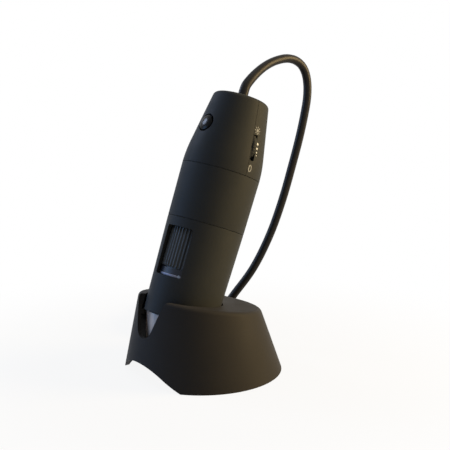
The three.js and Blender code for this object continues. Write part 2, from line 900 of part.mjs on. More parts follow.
function mainBoardHalfWidth() {
  const room = outsideRadius(mainBoardTop) - shellWall;
  return Math.sqrt(room * room - mainBoardDepth * mainBoardDepth) - mainBoardPlay;
}

function buildMainBoard(parent) {
  const half = mainBoardHalfWidth();
  const front = -mainBoardDepth;
  const back = front + mainBoardThickness;
  const plate = block([-half, front, mainBoardBottom], [half, back, mainBoardTop]);
  const holes = screwPlaces().map(([x, z]) =>
    alongY(disc(screwRadius + fit, front - overrun, back + overrun, tinySegments)).translate(x, 0, z),
  );
  piece(parent, "main_board", cut(plate, ...holes), boardGreen);
  const face = back + fit;
  const halfChip = chipSize / 2;
  piece(
    parent,
    "controller_chip",
    block([-halfChip, face, chipZ - halfChip], [halfChip, face + chipThickness, chipZ + halfChip]),
    chipBlack,
  );
  const can = roundRectangle(crystalWidth, crystalLength, crystalWidth / 2 - fit);
  const canX = -half / 2;
  piece(
    parent,
    "crystal_can",
    alongY(prism(can, face, face + crystalHeight)).translate(canX, 0, crystalZ),
    steel,
  );
  const halfConnector = connectorWidth / 2;
  const connectorX = -half + halfConnector + fit;
  piece(
    parent,
    "cable_connector",
    block(
      [connectorX - halfConnector, face, connectorZ - connectorHeight / 2],
      [connectorX + halfConnector, face + connectorDepth, connectorZ + connectorHeight / 2],
    ),
    whitePlastic,
  );
  screwPlaces().forEach(([x, z], i) => {
    const screw = revolve(
      [
        [0, face - screwLength - mainBoardThickness],
        [screwRadius, face - screwLength - mainBoardThickness],
        [screwRadius, face],
        [screwHeadRadius, face],
        [screwHeadRadius, face + screwHeadHeight, screwHeadHeight / 2],
        [0, face + screwHeadHeight],
      ],
      tinySegments,
    );
    piece(parent, `board_screw_${i + 1}`, alongY(screw).translate(x, 0, z), steel);
  });
}

// Height at which the button's axis meets a depth behind the front
function buttonAxisHeight(y) {
  return buttonHeight - (outsideRadius(buttonHeight) + y) * taperSlope;
}

function buildSwitch(parent) {
  const back = -mainBoardDepth - fit;
  const front = back - switchHeight;
  const middle = buttonAxisHeight(front);
  const half = switchSize / 2;
  const body = block([-half, front, middle - half], [half, back, middle + half]);
  const well = alongY(disc(plungerRadius + plungerPlay, front - overrun, back - fit, tinySegments));
  piece(parent, "snap_switch", cut(body, well.translate(0, 0, middle)), chipBlack);

  const tip = front - plungerProud;
  const plunger = alongY(disc(plungerRadius, tip, back - fit - fit - buttonTravel, tinySegments));
  piece(parent, "switch_plunger", plunger.translate(0, 0, middle), creamPlastic);
  return tip;
}

function buildButton(parent, plungerTip) {
  const seat = buttonProud - buttonCapDepth;
  const gap = (outsideRadius(buttonHeight) + plungerTip) / Math.cos(Math.atan(taperSlope));
  const stemEnd = -gap + fit;
  const cap = revolve(
    [
      [0, buttonProud],
      [buttonCapRadius * Math.SQRT1_2, buttonProud - buttonProud / 3],
      [buttonCapRadius, 0, buttonProud],
      [buttonCapRadius, seat],
      [buttonFlangeRadius, seat],
      [buttonFlangeRadius, seat - buttonFlange],
      [buttonStemRadius, seat - buttonFlange],
      [buttonStemRadius, stemEnd],
      [0, stemEnd],
    ],
    innerSegments / 2,
  );
  piece(parent, "button_cap", onButton(cap), glossBlack);
}

function buildDial(parent) {
  const x = dialCentreX();
  const back = dialFrontY + dialThickness;
  const edge = [];
  for (let i = 0; i < dialNotchCount; i += 1) {
    [
      [0, dialRadius],
      [1 / 2, dialRadius],
      [3 / 4, dialRadius - dialNotchDepth],
    ].forEach(([turn, radius]) => {
      const angle = (2 * Math.PI * (i + turn)) / dialNotchCount;
      edge.push(new THREE.Vector2(radius * Math.cos(angle), radius * Math.sin(angle)));
    });
  }
  const wheel = prism(edge, dialFrontY, back, [circlePoints(dialHubRadius, tinySegments)]);
  piece(parent, "brightness_dial", alongY(wheel).translate(x, 0, dialHeight), softBlack);

  const half = potSize / 2;
  const bodyBack = dialFrontY - potBodyPlay;
  const bodyFront = -mainBoardDepth + mainBoardThickness + fit;
  const body = block([x - half, bodyFront, dialHeight - half], [x + half, bodyBack, dialHeight + half]);
  const shaft = alongY(disc(dialHubRadius - fit, bodyBack - fit, back, tinySegments));
  piece(parent, "dial_potentiometer", join(body, shaft.translate(x, 0, dialHeight)), chipBlack);
}

// Grommet: a waist in the hole of the crown, with a flange on either side of the wall
function buildGrommet(parent) {
  const top = crownZ + fit + grommetFlange;
  const under = crownZ - shellWall - fit;
  const grommet = revolve(
    [
      [0, top],
      [grommetFlangeRadius, top, grommetFlange / 2],
      [grommetFlangeRadius, crownZ + fit],
      [grommetHoleRadius - fit, crownZ + fit],
      [grommetHoleRadius - fit, under],
      [grommetFlangeRadius, under],
      [grommetFlangeRadius, under - grommetFlange],
      [0, under - grommetFlange],
    ],
    smallSegments,
    2,
  );
  piece(parent, "cable_grommet", grommet, cableBlack);
}

// The cable's route from the crown to the coil, chosen by hand, in the cradle's frame
const cableRoute = [
  [0, 24.3, 126.6],
  [0, 27, 129.4],
  [-0.2, 30.3, 132],
  [-0.4, 34.3, 134.6],
  [-0.7, 39, 136.8],
  [-1, 44, 138.3],
  [-1.3, 49.5, 139.1],
  [-1.6, 54.7, 138.5],
  [-1.9, 59.3, 136.2],
  [-2.1, 62.1, 132.6],
  [-2.2, 63.5, 127.8],
  [-2.4, 63.7, 121],
  [-3.4, 62.8, 112],
  [-4.7, 61.1, 101.5],
  [-6.5, 58.8, 89.6],
  [-9.5, 54.8, 71],
  [-13.1, 50, 53.6],
  [-18, 43.6, 36.9],
  [-23.4, 36.2, 24],
];

// A tube with flat ends through points, its section kept upright
function windTube(points, radius, sides) {
  const up = new THREE.Vector3(0, 0, 1);
  const positions = [];
  points.forEach((point, i) => {
    const before = points[Math.max(i - 1, 0)];
    const after = points[Math.min(i + 1, points.length - 1)];
    const ahead = after.clone().sub(before).normalize();
    const side = new THREE.Vector3().crossVectors(ahead, up).normalize();
    const rise = new THREE.Vector3().crossVectors(side, ahead);
    for (let corner = 0; corner < sides; corner += 1) {
      const angle = (2 * Math.PI * (corner + 1 / 2)) / sides;
      const place = point.clone().addScaledVector(side, radius * Math.cos(angle));
      positions.push(...place.addScaledVector(rise, radius * Math.sin(angle)).toArray());
    }
  });
  const faces = [];
  for (let i = 0; i + 1 < points.length; i += 1) {
    for (let corner = 0; corner < sides; corner += 1) {
      const a = i * sides + corner;
      const b = i * sides + ((corner + 1) % sides);
      faces.push(a, a + sides, b, b, a + sides, b + sides);
    }
  }
  const last = (points.length - 1) * sides;
  for (let corner = 1; corner + 1 < sides; corner += 1) {
    faces.push(0, corner, corner + 1, last, last + corner + 1, last + corner);
  }
  const geometry = new THREE.BufferGeometry();
  geometry.setAttribute("position", new THREE.Float32BufferAttribute(positions, 3));
  geometry.setIndex(faces);
  return geometry;
}

// Coil: spirals in, then out again a layer lower, and sinks in the half turn where it reverses
const coilFloor = tieThickness + fit + cableDiameter / 2;
const coilTop = coilFloor + (coilLayers - 1) * coilPitch;
const coilInnerRadius = coilOuterRadius - coilTurnsPerLayer * coilPitch;

function coilPoint(turns) {
  const layer = Math.min(Math.floor(turns / coilTurnsPerLayer), coilLayers - 1);
  const along = turns / coilTurnsPerLayer - layer;
  const inward = layer % 2 === 0 ? along : 1 - along;
  const radius = THREE.MathUtils.lerp(coilOuterRadius, coilInnerRadius, inward);
  let z = coilTop;
  for (let change = 1; change < coilLayers; change += 1) {
    const start = change * coilTurnsPerLayer - 1 / 4;
    z -= coilPitch * THREE.MathUtils.smoothstep(turns, start, start + 1 / 2);
  }
  const angle = -Math.PI / 2 - 2 * Math.PI * turns;
  return new THREE.Vector3(coilAcross + radius * Math.cos(angle), coilBehind + radius * Math.sin(angle), z);
}

function coilPoints() {
  const turns = coilLayers * coilTurnsPerLayer;
  const steps = Math.round(turns * coilSteps);
  const points = [];
  for (let step = 0; step <= steps; step += 1) {
    points.push(coilPoint((turns * step) / steps));
  }
  const leadIn = points[0].clone().add(new THREE.Vector3(cableDiameter, 0, 0));
  const leadOut = points.at(-1).clone().add(new THREE.Vector3(0, cableDiameter, 0));
  return [leadIn, ...points, leadOut];
}

// Least gap between turns of the coil, from points that are at least half a turn apart
function coilGap(points) {
  let least = Infinity;
  points.forEach((point, i) => {
    for (let j = i + coilSteps / 2; j < points.length; j += 1) {
      const before = points[j - 1];
      const along = points[j].clone().sub(before);
      const share = THREE.MathUtils.clamp(point.clone().sub(before).dot(along) / along.lengthSq(), 0, 1);
      least = Math.min(least, point.distanceTo(before.clone().addScaledVector(along, share)));
    }
  });
  return least - cableDiameter;
}

function tubeAlong(points) {
  const curve = new THREE.CatmullRomCurve3(points, false, "centripetal");
  const steps = Math.min(Math.ceil(curve.getLength() / (cableDiameter + cableDiameter)), coilSteps * 3);
  const section = new THREE.Shape(circlePoints(cableDiameter / 2, cableSides));
  const geometry = new THREE.ExtrudeGeometry(section, { steps, extrudePath: curve, bevelEnabled: false });
  return { geometry, length: curve.getLength() };
}

// A point of the parked cable in the cradle's frame
function fromPark(point) {
  return point.clone().applyAxisAngle(new THREE.Vector3(0, 0, 1), parkTurn);
}

function buildCable(parent) {
  const onAxis = placeOnAxis(new THREE.Object3D());
  const exitZ = crownZ + fit + grommetFlange + fit;
  const exit = new THREE.Vector3(0, 0, exitZ).applyMatrix4(onAxis.matrixWorld);
  const straight = new THREE.Vector3(0, 0, exitZ + cableDiameter / 2).applyMatrix4(onAxis.matrixWorld);
  const wound = coilPoints();
  const landing = wound[0].clone().add(new THREE.Vector3(fit, 0, 0));
  const glide = wound[0].clone().add(new THREE.Vector3(cableDiameter, 0, 0));
  const route = cableRoute.map((point) => new THREE.Vector3(...point));
  const free = tubeAlong([exit, straight, ...route, fromPark(glide), fromPark(landing)]);
  piece(parent, "cable_free_run", free.geometry, cableBlack);

  const park = new THREE.Group();
  park.rotation.z = parkTurn;
  parent.add(park);
  piece(park, "cable_coil", windTube(wound, cableDiameter / 2, coilSides), cableBlack);

  const end = wound.at(-1);
  const plugZ = plugHeight / 2;
  const side = end.x;
  const corner = plugBehind - tailBend;
  const tailPoints = [
    end.clone().add(new THREE.Vector3(0, fit, 0)),
    new THREE.Vector3(side, (end.y + corner) / 2, THREE.MathUtils.lerp(end.z, plugZ, 1 / 4)),
    new THREE.Vector3(side, corner, THREE.MathUtils.lerp(end.z, plugZ, 1 / 2)),
    new THREE.Vector3(
      side + tailBend * (1 - Math.SQRT1_2),
      corner + tailBend * Math.SQRT1_2,
      THREE.MathUtils.lerp(end.z, plugZ, 3 / 4),
    ),
    new THREE.Vector3(side + tailBend, plugBehind, plugZ),
    new THREE.Vector3(plugStart, plugBehind, plugZ),
  ];
  const tail = tubeAlong(tailPoints);
  piece(park, "cable_tail", tail.geometry, cableBlack);
  buildTie(park);
  buildPlug(park, plugZ);

  let woundLength = 0;
  wound.forEach((point, i) => {
    woundLength += i ? point.distanceTo(wound[i - 1]) : 0;
  });
  console.log(`least gap between the coil's turns ${coilGap(wound).toFixed(2)} mm`);
  console.log(`cable ${(free.length + woundLength + tail.length).toFixed(0)} mm`);
}

function buildTie(park) {
  const half = cableDiameter / 2;
  const inner = Math.sqrt((coilInnerRadius - half) ** 2 - (tieWidth / 2) ** 2) - fit;
  const outer = coilOuterRadius + half + fit;
  const bottom = tieThickness;
  const top = coilTop + half + fit;
  const width = outer - inner;
  const height = top - bottom;
  const across = (outer + inner) / 2;
  const middle = (top + bottom) / 2;
  const band = prism(
    roundRectangle(width + 2 * tieThickness, height + 2 * tieThickness, tieRound, across, middle),
    -tieWidth / 2,
    tieWidth / 2,
    [roundRectangle(width, height, tieRound - tieThickness, across, middle)],
  );
  const place = band.rotateX(Math.PI / 2).rotateZ(Math.PI / 2).translate(coilAcross, coilBehind, 0);
  piece(park, "cable_tie", place, tieBlack);
}

// Plug: strain relief, overmould, metal shell and the tongue that carries the contacts
function buildPlug(park, plugZ) {
  const plug = new THREE.Group();
  plug.position.set(plugStart + fit, plugBehind, plugZ);
  plug.rotation.y = Math.PI / 2;
  park.add(plug);
  const relief = revolve(
    [
      [0, 0],
      [cableDiameter / 2 + fit, 0],
      [plugReliefRadius, plugReliefLength],
      [0, plugReliefLength],
    ],
    tinySegments,
  );
  const rings = [1, 2, 3].map((i) => {
    const z = (plugReliefLength * i) / 4;
    return revolve(
      [
        [cableDiameter / 2, z - fit],
        [plugReliefRadius + fit, z - fit],
        [plugReliefRadius + fit, z + fit],
        [cableDiameter / 2, z + fit],
      ],
      tinySegments,
    );
  });
  piece(plug, "plug_relief", cut(relief, ...rings), cableBlack);
  const bodyStart = plugReliefLength + fit;
  const bodyEnd = bodyStart + plugLength;
  const body = prism(roundRectangle(plugHeight, plugWidth, plugRound), bodyStart, bodyEnd);
  piece(plug, "plug_overmould", body, cableBlack);
  const shellStart = bodyEnd + fit;
  const shellEnd = shellStart + plugShellLength;
  const outline = roundRectangle(plugShellHeight, plugShellWidth, plugShellWall);
  const hollow = roundRectangle(plugShellHeight - 2 * plugShellWall, plugShellWidth - 2 * plugShellWall, 0);
  const room = prism(hollow, shellStart + plugShellWall, shellEnd + overrun);
  piece(plug, "plug_shell", cut(prism(outline, shellStart, shellEnd), room), steel);
  const half = plugShellWidth / 2 - plugShellWall - fit;
  const ceiling = plugShellHeight / 2 - plugShellWall - fit;
  const tongue = block(
    [ceiling - plugTongueHeight, -half, shellStart + plugShellWall + fit],
    [ceiling, half, shellEnd - plugTongueInset],
  );
  piece(plug, "plug_tongue", tongue, whitePlastic);
}

// Furthest forward that the cradle reaches: the wall above the top of the arch
function cradleFront() {
  const rimFront = rimCentreY - rimHalfLength * Math.cos(rimTilt);
  const rimFrontZ = rimHeight + rimHalfLength * Math.sin(rimTilt);
  return THREE.MathUtils.lerp(-footRadius, rimFront, archHeight / rimFrontZ);
}

const model = new THREE.Group();
model.position.y = -(footRadius + cradleFront()) / 2;
buildCradle(model);

const microscope = placeOnAxis(new THREE.Group());
model.add(microscope);
buildLowerBarrel(microscope);
buildMidBarrel(microscope);
buildUpperShells(microscope);
buildFocusRing(microscope);
buildLensCarrier(microscope);
buildNose(microscope);
buildLamps(microscope);
buildSensor(microscope);
buildMainBoard(microscope);
const plungerTip = buildSwitch(microscope);
buildButton(microscope, plungerTip);
buildDial(microscope);
buildGrommet(microscope);
buildCable(model);

export default model;
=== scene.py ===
# %% [markdown]
# # A USB digital microscope in its cradle
#
# The object is a handheld camera microscope. Its lens end stands in a round cradle that leans it back,
# its middle has a focus ring behind a window, and its top carries a snapshot button, a brightness
# thumbwheel and the cable.
#
# This lesson dresses a finished mechanical model. The model is loaded as a fixed frame, and every piece
# made here is put where that frame says, so that the joints still work. The frame is in metres, with the
# front along -Y.

# %% Load the frame
import json
import math

import bmesh
import bpy
from mathutils import Matrix, Vector


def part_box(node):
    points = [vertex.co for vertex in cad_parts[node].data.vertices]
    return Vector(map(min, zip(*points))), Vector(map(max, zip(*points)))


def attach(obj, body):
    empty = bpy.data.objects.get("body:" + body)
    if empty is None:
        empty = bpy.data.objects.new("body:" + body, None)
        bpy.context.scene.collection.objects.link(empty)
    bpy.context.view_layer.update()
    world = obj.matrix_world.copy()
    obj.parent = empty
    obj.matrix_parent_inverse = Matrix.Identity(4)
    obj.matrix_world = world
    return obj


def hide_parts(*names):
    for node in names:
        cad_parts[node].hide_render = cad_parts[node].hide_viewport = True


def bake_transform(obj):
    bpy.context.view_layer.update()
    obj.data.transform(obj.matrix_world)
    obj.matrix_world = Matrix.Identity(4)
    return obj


def shown(vector, digits=4):
    return tuple(round(value, digits) for value in vector)


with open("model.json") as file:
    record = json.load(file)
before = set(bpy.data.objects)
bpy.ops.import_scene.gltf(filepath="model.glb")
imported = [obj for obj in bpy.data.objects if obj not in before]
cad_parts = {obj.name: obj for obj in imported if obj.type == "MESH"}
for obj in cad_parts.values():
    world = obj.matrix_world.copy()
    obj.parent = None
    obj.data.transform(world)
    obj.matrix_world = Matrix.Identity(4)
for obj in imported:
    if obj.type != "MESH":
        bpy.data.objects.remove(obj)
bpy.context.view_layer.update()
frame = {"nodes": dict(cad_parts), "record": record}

# %% [markdown]
# The pieces are drawn in millimetres and scaled to metres at the end. Two frames are used. The cradle's
# frame stands upright on the table, with zero in the middle of the round foot. The microscope's frame
# leans back with it: its Z runs along the barrel, with zero at the barrel's lower end.

# %% Frames of the cradle and the microscope
MM = 0.001
FOOT_RADIUS = 35.75
LEAN = math.radians(20)
# Where the barrel's axis meets the table, and how far up the axis the barrel begins
AXIS_FOOT_Y = -22
LOWER_END_HEIGHT = 26.8

cradle_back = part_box("cradle_shell")[1].y / MM
foot_y = cradle_back - FOOT_RADIUS
CRADLE = Matrix.Scale(MM, 4) @ Matrix.Translation((0, foot_y, 0))
axis_start = (0, AXIS_FOOT_Y + LOWER_END_HEIGHT * math.sin(LEAN), LOWER_END_HEIGHT * math.cos(LEAN))
BARREL = CRADLE @ Matrix.Translation(axis_start) @ Matrix.Rotation(-LEAN, 4, "X")
print("middle of the foot at y", round(foot_y, 2), "mm")

# %% [markdown]
# The camera comes first, because everything is judged through it. It stands to the right of the front and
# a little above, and it was fitted to the photograph by the outline of the cradle and the barrel.

# %% Camera
CAMERA_AZIMUTH = math.radians(53.1)
CAMERA_ELEVATION = math.radians(9.66)
CAMERA_DISTANCE = 370.74
CAMERA_TARGET = Vector((0, 12.54, 64.35))
SENSOR_WIDTH = 36
FOCAL_LENGTH = 65.44
NEAREST_SEEN = 0.02
FARTHEST_SEEN = 50


def place_camera():
    camera = bpy.data.objects.new("camera", bpy.data.cameras.new("camera"))
    back = Vector((
        math.sin(CAMERA_AZIMUTH) * math.cos(CAMERA_ELEVATION),
        -math.cos(CAMERA_AZIMUTH) * math.cos(CAMERA_ELEVATION),
        math.sin(CAMERA_ELEVATION),
    ))
    camera.location = CRADLE @ (CAMERA_TARGET + back * CAMERA_DISTANCE)
    camera.rotation_euler = (-back).to_track_quat("-Z", "Y").to_euler()
    camera.data.sensor_width = SENSOR_WIDTH
    camera.data.lens = FOCAL_LENGTH
    camera.data.clip_start = NEAREST_SEEN
    camera.data.clip_end = FARTHEST_SEEN
    bpy.context.scene.collection.objects.link(camera)
    bpy.context.scene.camera = camera
    print("camera at", shown(camera.location, 3))


place_camera()

# %% [markdown]
# Colours are written as sRGB hex values, because that is how a colour is picked from a swatch. Blender's
# shaders want linear light, so one function turns them. A second one adds a shader node with its settings
# and its links, and a third starts a material, which keeps each recipe to a few lines.

# %% Colour and node helpers
# The Mix node has several sockets of the same name, so its sockets go by number
MIX_SHARE, MIX_DARK, MIX_LIGHT = 0, 6, 7
MIXED = 2


def linear(hex_colour):
    """Undoes the sRGB curve."""
    channels = [int(hex_colour[i:i + 2], 16) / 255 for i in (1, 3, 5)]
    return tuple(c / 12.92 if c <= 0.04045 else ((c + 0.055) / 1.055) ** 2.4 for c in channels) + (1,)


def add(tree, kind, inputs=None, **settings):
    """Adds a node. An input is found by its name or number, and takes a value or another node's output."""
    made = tree.nodes.new(kind)
    for key, value in settings.items():
        setattr(made, key, value)
    for key, value in (inputs or {}).items():
        if isinstance(value, bpy.types.NodeSocket):
            tree.links.new(value, made.inputs[key])
        else:
            made.inputs[key].default_value = value
    return made


def start_material(name):
    """A material without nodes, its tree, and the place on the piece that its patterns follow."""
    made = bpy.data.materials.new(name)
    made.use_nodes = True
    tree = made.node_tree
    tree.nodes.clear()
    return made, tree, add(tree, "ShaderNodeTexCoord").outputs["Object"]


print("mid grey is", round(linear("#808080")[0], 3), "in linear light")

# %% [markdown]
# Most of the object is injection-moulded plastic. Real mouldings are never one flat value: the colour
# drifts by a shade, the gloss is patchy where hands polish it, and the spark-eroded mould leaves a fine
# grain. One function makes all of these plastics, and each gets its own colour, gloss and grain size in
# millimetres.

# %% Moulded plastic
# Most of a noise pattern's values lie between these two
NOISE_LOW, NOISE_HIGH = 0.3, 0.7
DRIFT_MM = 14
GRAIN_STRENGTH = 0.35
PLASTIC_IOR = 1.5


def moulded_plastic(name, dark, light, roughness, grain_mm, grain_depth_mm=0.004, reflect=0.5, spread=0.06):
    made, tree, place = start_material(name)
    drift = add(tree, "ShaderNodeTexNoise", {"Vector": place, "Scale": 1 / (DRIFT_MM * MM), "Detail": 3.0})
    grain = add(tree, "ShaderNodeTexNoise", {"Vector": place, "Scale": 1 / (grain_mm * MM), "Detail": 2.0})
    colour = add(tree, "ShaderNodeMix", {
        MIX_SHARE: drift.outputs["Fac"], MIX_DARK: linear(dark), MIX_LIGHT: linear(light),
    }, data_type="RGBA")
    gloss = add(tree, "ShaderNodeMapRange", {
        "Value": drift.outputs["Fac"], "From Min": NOISE_LOW, "From Max": NOISE_HIGH,
        "To Min": roughness - spread, "To Max": roughness + spread,
    })
    bump = add(tree, "ShaderNodeBump", {
        "Height": grain.outputs["Fac"], "Strength": GRAIN_STRENGTH, "Distance": grain_depth_mm * MM,
    })
    shader = add(tree, "ShaderNodeBsdfPrincipled", {
        "Base Color": colour.outputs[MIXED], "Roughness": gloss.outputs["Result"], "IOR": PLASTIC_IOR,
        "Specular IOR Level": reflect, "Normal": bump.outputs["Normal"],
    })
    add(tree, "ShaderNodeOutputMaterial", {"Surface": shader.outputs["BSDF"]})
    return made


# Soft-touch lacquer over ABS: almost black, with wide dull highlights and hardly any mirror image
soft_touch = moulded_plastic("soft_touch_lacquer", "#282a2b", "#2f3132", 0.54, 0.25, reflect=0.04)
# The cradle has the same lacquer, a little duller because it is a larger, cheaper moulding
cradle_lacquer = moulded_plastic("cradle_soft_touch_lacquer", "#272626", "#2d2c2b", 0.58, 0.3, reflect=0.04)
# Polished ABS: the mirror-like button shows the lamps as a small sharp glint
polished_abs = moulded_plastic("polished_black_abs", "#050506", "#08080a", 0.22, 2.0, 0.0006, reflect=0.055,
                               spread=0.02)
# Satin ABS of the focus ring, glossier where fingers have worn it
satin_abs = moulded_plastic("satin_black_abs", "#292d31", "#33383d", 0.36, 0.4, reflect=0.2)
# Matt ABS of the pieces inside
inner_abs = moulded_plastic("matt_black_abs", "#121214", "#17171a", 0.6, 0.3, reflect=0.06)
# Flexible PVC of the cable and plug: smooth, so it carries one long highlight
cable_pvc = moulded_plastic("flexible_black_pvc", "#171615", "#1e1c1b", 0.4, 0.6, 0.002, reflect=0.12)
# Glossy ABS of the scale band, a cold dark grey
gloss_band = moulded_plastic("gloss_grey_abs", "#1e2026", "#25282f", 0.32, 0.4, reflect=0.15)
# Epoxy moulding compound of chips and switches, a dull dark grey
chip_epoxy = moulded_plastic("epoxy_moulding_compound", "#141415", "#1b1b1c", 0.55, 0.15)
# Uncoloured nylon of connectors and of the plug's tongue, a slightly yellow white
white_nylon = moulded_plastic("white_nylon", "#dcdcd6", "#e8e8e2", 0.42, 0.3)
# Acetal of small pieces inside, cream and a little waxy
cream_acetal = moulded_plastic("cream_acetal", "#d8cfb4", "#e2d9c0", 0.35, 0.3)
# Polyimide film of the flat ribbon, a glossy amber
ribbon_film = moulded_plastic("polyimide_film", "#a8601c", "#c27a2c", 0.3, 0.5)
print("moulded plastics ready")

# %% [markdown]
# The inside of the cradle lies in deep shade and looks black through the notch, so its faces get a
# painted shade: a near-black colour in place of the lacquer's. A second material with its own faces would
# do, but those faces are cut anew by each boolean. The shader can tell them apart by itself: an inside
# face is one whose normal points back at the upright axis through the foot.

# %% Painted shade inside
INSIDE_LOOKS_BACK = -0.6


def paint_shade_inside(coated, painted_shade):
    tree = coated.node_tree
    shader = next(node for node in tree.nodes if node.type == "BSDF_PRINCIPLED")
    lacquer = shader.inputs["Base Color"].links[0].from_socket
    place = add(tree, "ShaderNodeTexCoord")
    level = add(tree, "ShaderNodeVectorMath", {0: place.outputs["Object"], 1: (1, 1, 0)},
                operation="MULTIPLY")
    outward = add(tree, "ShaderNodeVectorMath", {0: level.outputs["Vector"]}, operation="NORMALIZE")
    facing = add(tree, "ShaderNodeVectorMath", {0: outward.outputs["Vector"], 1: place.outputs["Normal"]},
                 operation="DOT_PRODUCT")
    inside = add(tree, "ShaderNodeMath", {0: facing.outputs["Value"], 1: INSIDE_LOOKS_BACK},
                 operation="LESS_THAN")
    # Inside faces take the painted shade, a near-black colour, in place of the lacquer's colour
    colour = add(tree, "ShaderNodeMix", {
        MIX_SHARE: inside.outputs["Value"], MIX_DARK: lacquer, MIX_LIGHT: linear(painted_shade),
    }, data_type="RGBA")
    tree.links.new(colour.outputs[MIXED], shader.inputs["Base Color"])


# The cradle's inside gets a painted shade, darker than the lacquer
paint_shade_inside(cradle_lacquer, "#070708")
print("cradle lacquer is bare inside")

# %% [markdown]
# The plug's shell, the screws and the pins are tinned steel, drawn and folded, with fine drawing lines
# along them. The bead below the scale band is satin silver. Both are metals, so the colour is the
# reflection's own, and a noise stretched along Z gives the lines.

# %% Drawn metal
LINE_STRETCH = 0.04
METAL_GLOSS_SPREAD = 0.08
LINE_DARK, LINE_LIGHT = 0.9, 1.08


def drawn_metal(name, colour, roughness, line_mm):
    made, tree, place = start_material(name)
    along = add(tree, "ShaderNodeMapping", {"Vector": place, "Scale": (1.0, 1.0, LINE_STRETCH)})
    lines = add(tree, "ShaderNodeTexNoise", {
        "Vector": along.outputs["Vector"], "Scale": 1 / (line_mm * MM), "Detail": 3.0,
    })
    gloss = add(tree, "ShaderNodeMapRange", {
        "Value": lines.outputs["Fac"],
        "To Min": roughness - METAL_GLOSS_SPREAD, "To Max": roughness + METAL_GLOSS_SPREAD,
    })
    shade = add(tree, "ShaderNodeMapRange", {
        "Value": lines.outputs["Fac"], "To Min": LINE_DARK, "To Max": LINE_LIGHT,
    })
    tint = add(tree, "ShaderNodeHueSaturation", {"Color": linear(colour), "Value": shade.outputs["Result"]})
    shader = add(tree, "ShaderNodeBsdfPrincipled", {
        "Base Color": tint.outputs["Color"], "Metallic": 1.0, "Roughness": gloss.outputs["Result"],
    })
    add(tree, "ShaderNodeOutputMaterial", {"Surface": shader.outputs["BSDF"]})
    return made


tinned_steel = drawn_metal("tinned_steel", "#c3c6c9", 0.3, 0.08)
satin_silver = drawn_metal("satin_silver_bead", "#56565f", 0.5, 0.1)
print("metals ready")

# %% [markdown]
# The lens nose is frosted polycarbonate that passes a little light, so its shader scatters some of it
# below the surface. The plastic flowed along the nose as the mould filled, which leaves faint streaks
# along the leaning axis. The lamps' clear epoxy is made the same way, with a smoother skin.

# %% Frosted plastic
STREAK_MM = 3
STREAK_STRETCH = 0.2
FROST_MM = 0.25
FROST_STRENGTH = 0.3
FROST_DEPTH_MM = 0.004
POLYCARBONATE_IOR = 1.585
SCATTER_SHARE = 0.35
SCATTER_DEPTH_MM = 1.2


def frosted_plastic(name, dark, light, roughness):
    made, tree, place = start_material(name)
    flow = add(tree, "ShaderNodeMapping", {
        "Vector": place, "Rotation": (LEAN, 0, 0), "Scale": (1.0, 1.0, STREAK_STRETCH),
    })
    cloud = add(tree, "ShaderNodeTexNoise", {
        "Vector": flow.outputs["Vector"], "Scale": 1 / (STREAK_MM * MM), "Detail": 2.0,
    })
    frost = add(tree, "ShaderNodeTexNoise", {"Vector": place, "Scale": 1 / (FROST_MM * MM), "Detail": 2.0})
    streaks = add(tree, "ShaderNodeMapRange", {
        "Value": cloud.outputs["Fac"], "From Min": NOISE_LOW, "From Max": NOISE_HIGH,
    })
    colour = add(tree, "ShaderNodeMix", {
        MIX_SHARE: streaks.outputs["Result"], MIX_DARK: linear(dark), MIX_LIGHT: linear(light),
    }, data_type="RGBA")
    bump = add(tree, "ShaderNodeBump", {
        "Height": frost.outputs["Fac"], "Strength": FROST_STRENGTH, "Distance": FROST_DEPTH_MM * MM,
    })
    shader = add(tree, "ShaderNodeBsdfPrincipled", {
        "Base Color": colour.outputs[MIXED], "Roughness": roughness, "IOR": POLYCARBONATE_IOR,
        "Subsurface Weight": SCATTER_SHARE, "Subsurface Radius": (1.0, 1.0, 1.0),
        "Subsurface Scale": SCATTER_DEPTH_MM * MM, "Normal": bump.outputs["Normal"],
    })
    add(tree, "ShaderNodeOutputMaterial", {"Surface": shader.outputs["BSDF"]})
    return made


frosted_nose = frosted_plastic("frosted_polycarbonate", "#675d55", "#a6968a", 0.36)
lamp_epoxy = frosted_plastic("lamp_epoxy", "#e8e6d2", "#f2f1e2", 0.12)
print("frosted plastics ready")

# %% [markdown]
# The lenses are ground from crown glass. Clean glass has no grain to show, but a lens that has been used
# carries a trace of dust, so its roughness rises a little in patches. Transmission does the rest.

# %% Optical glass
DUST_MM = 0.8
DUST_ROUGHNESS = 0.05
CROWN_GLASS_IOR = 1.517


def optical_glass(name, tint):
    made, tree, place = start_material(name)
    dust = add(tree, "ShaderNodeTexNoise", {"Vector": place, "Scale": 1 / (DUST_MM * MM), "Detail": 2.0})
    gloss = add(tree, "ShaderNodeMapRange", {
        "Value": dust.outputs["Fac"], "To Min": 0.0, "To Max": DUST_ROUGHNESS,
    })
    shader = add(tree, "ShaderNodeBsdfPrincipled", {
        "Base Color": linear(tint), "Roughness": gloss.outputs["Result"], "IOR": CROWN_GLASS_IOR,
        "Transmission Weight": 1.0,
    })
    add(tree, "ShaderNodeOutputMaterial", {"Surface": shader.outputs["BSDF"]})
    return made


crown_glass = optical_glass("coated_crown_glass", "#e6f2f4")
print("glass ready")

# %% [markdown]
# The boards are glass-fibre laminate under a green solder mask. Copper tracks run below the mask and lift
# it by their own thickness, 0.035 mm, which shows as lighter lines with a raised edge. The edges of a
# cell pattern look enough like them.

# %% Circuit board
TRACK_PITCH_MM = 2.2
TRACK_EDGE_NEAR, TRACK_EDGE_FAR = 0.04, 0.09
TRACK_STRENGTH = 0.4
COPPER_THICKNESS_MM = 0.035


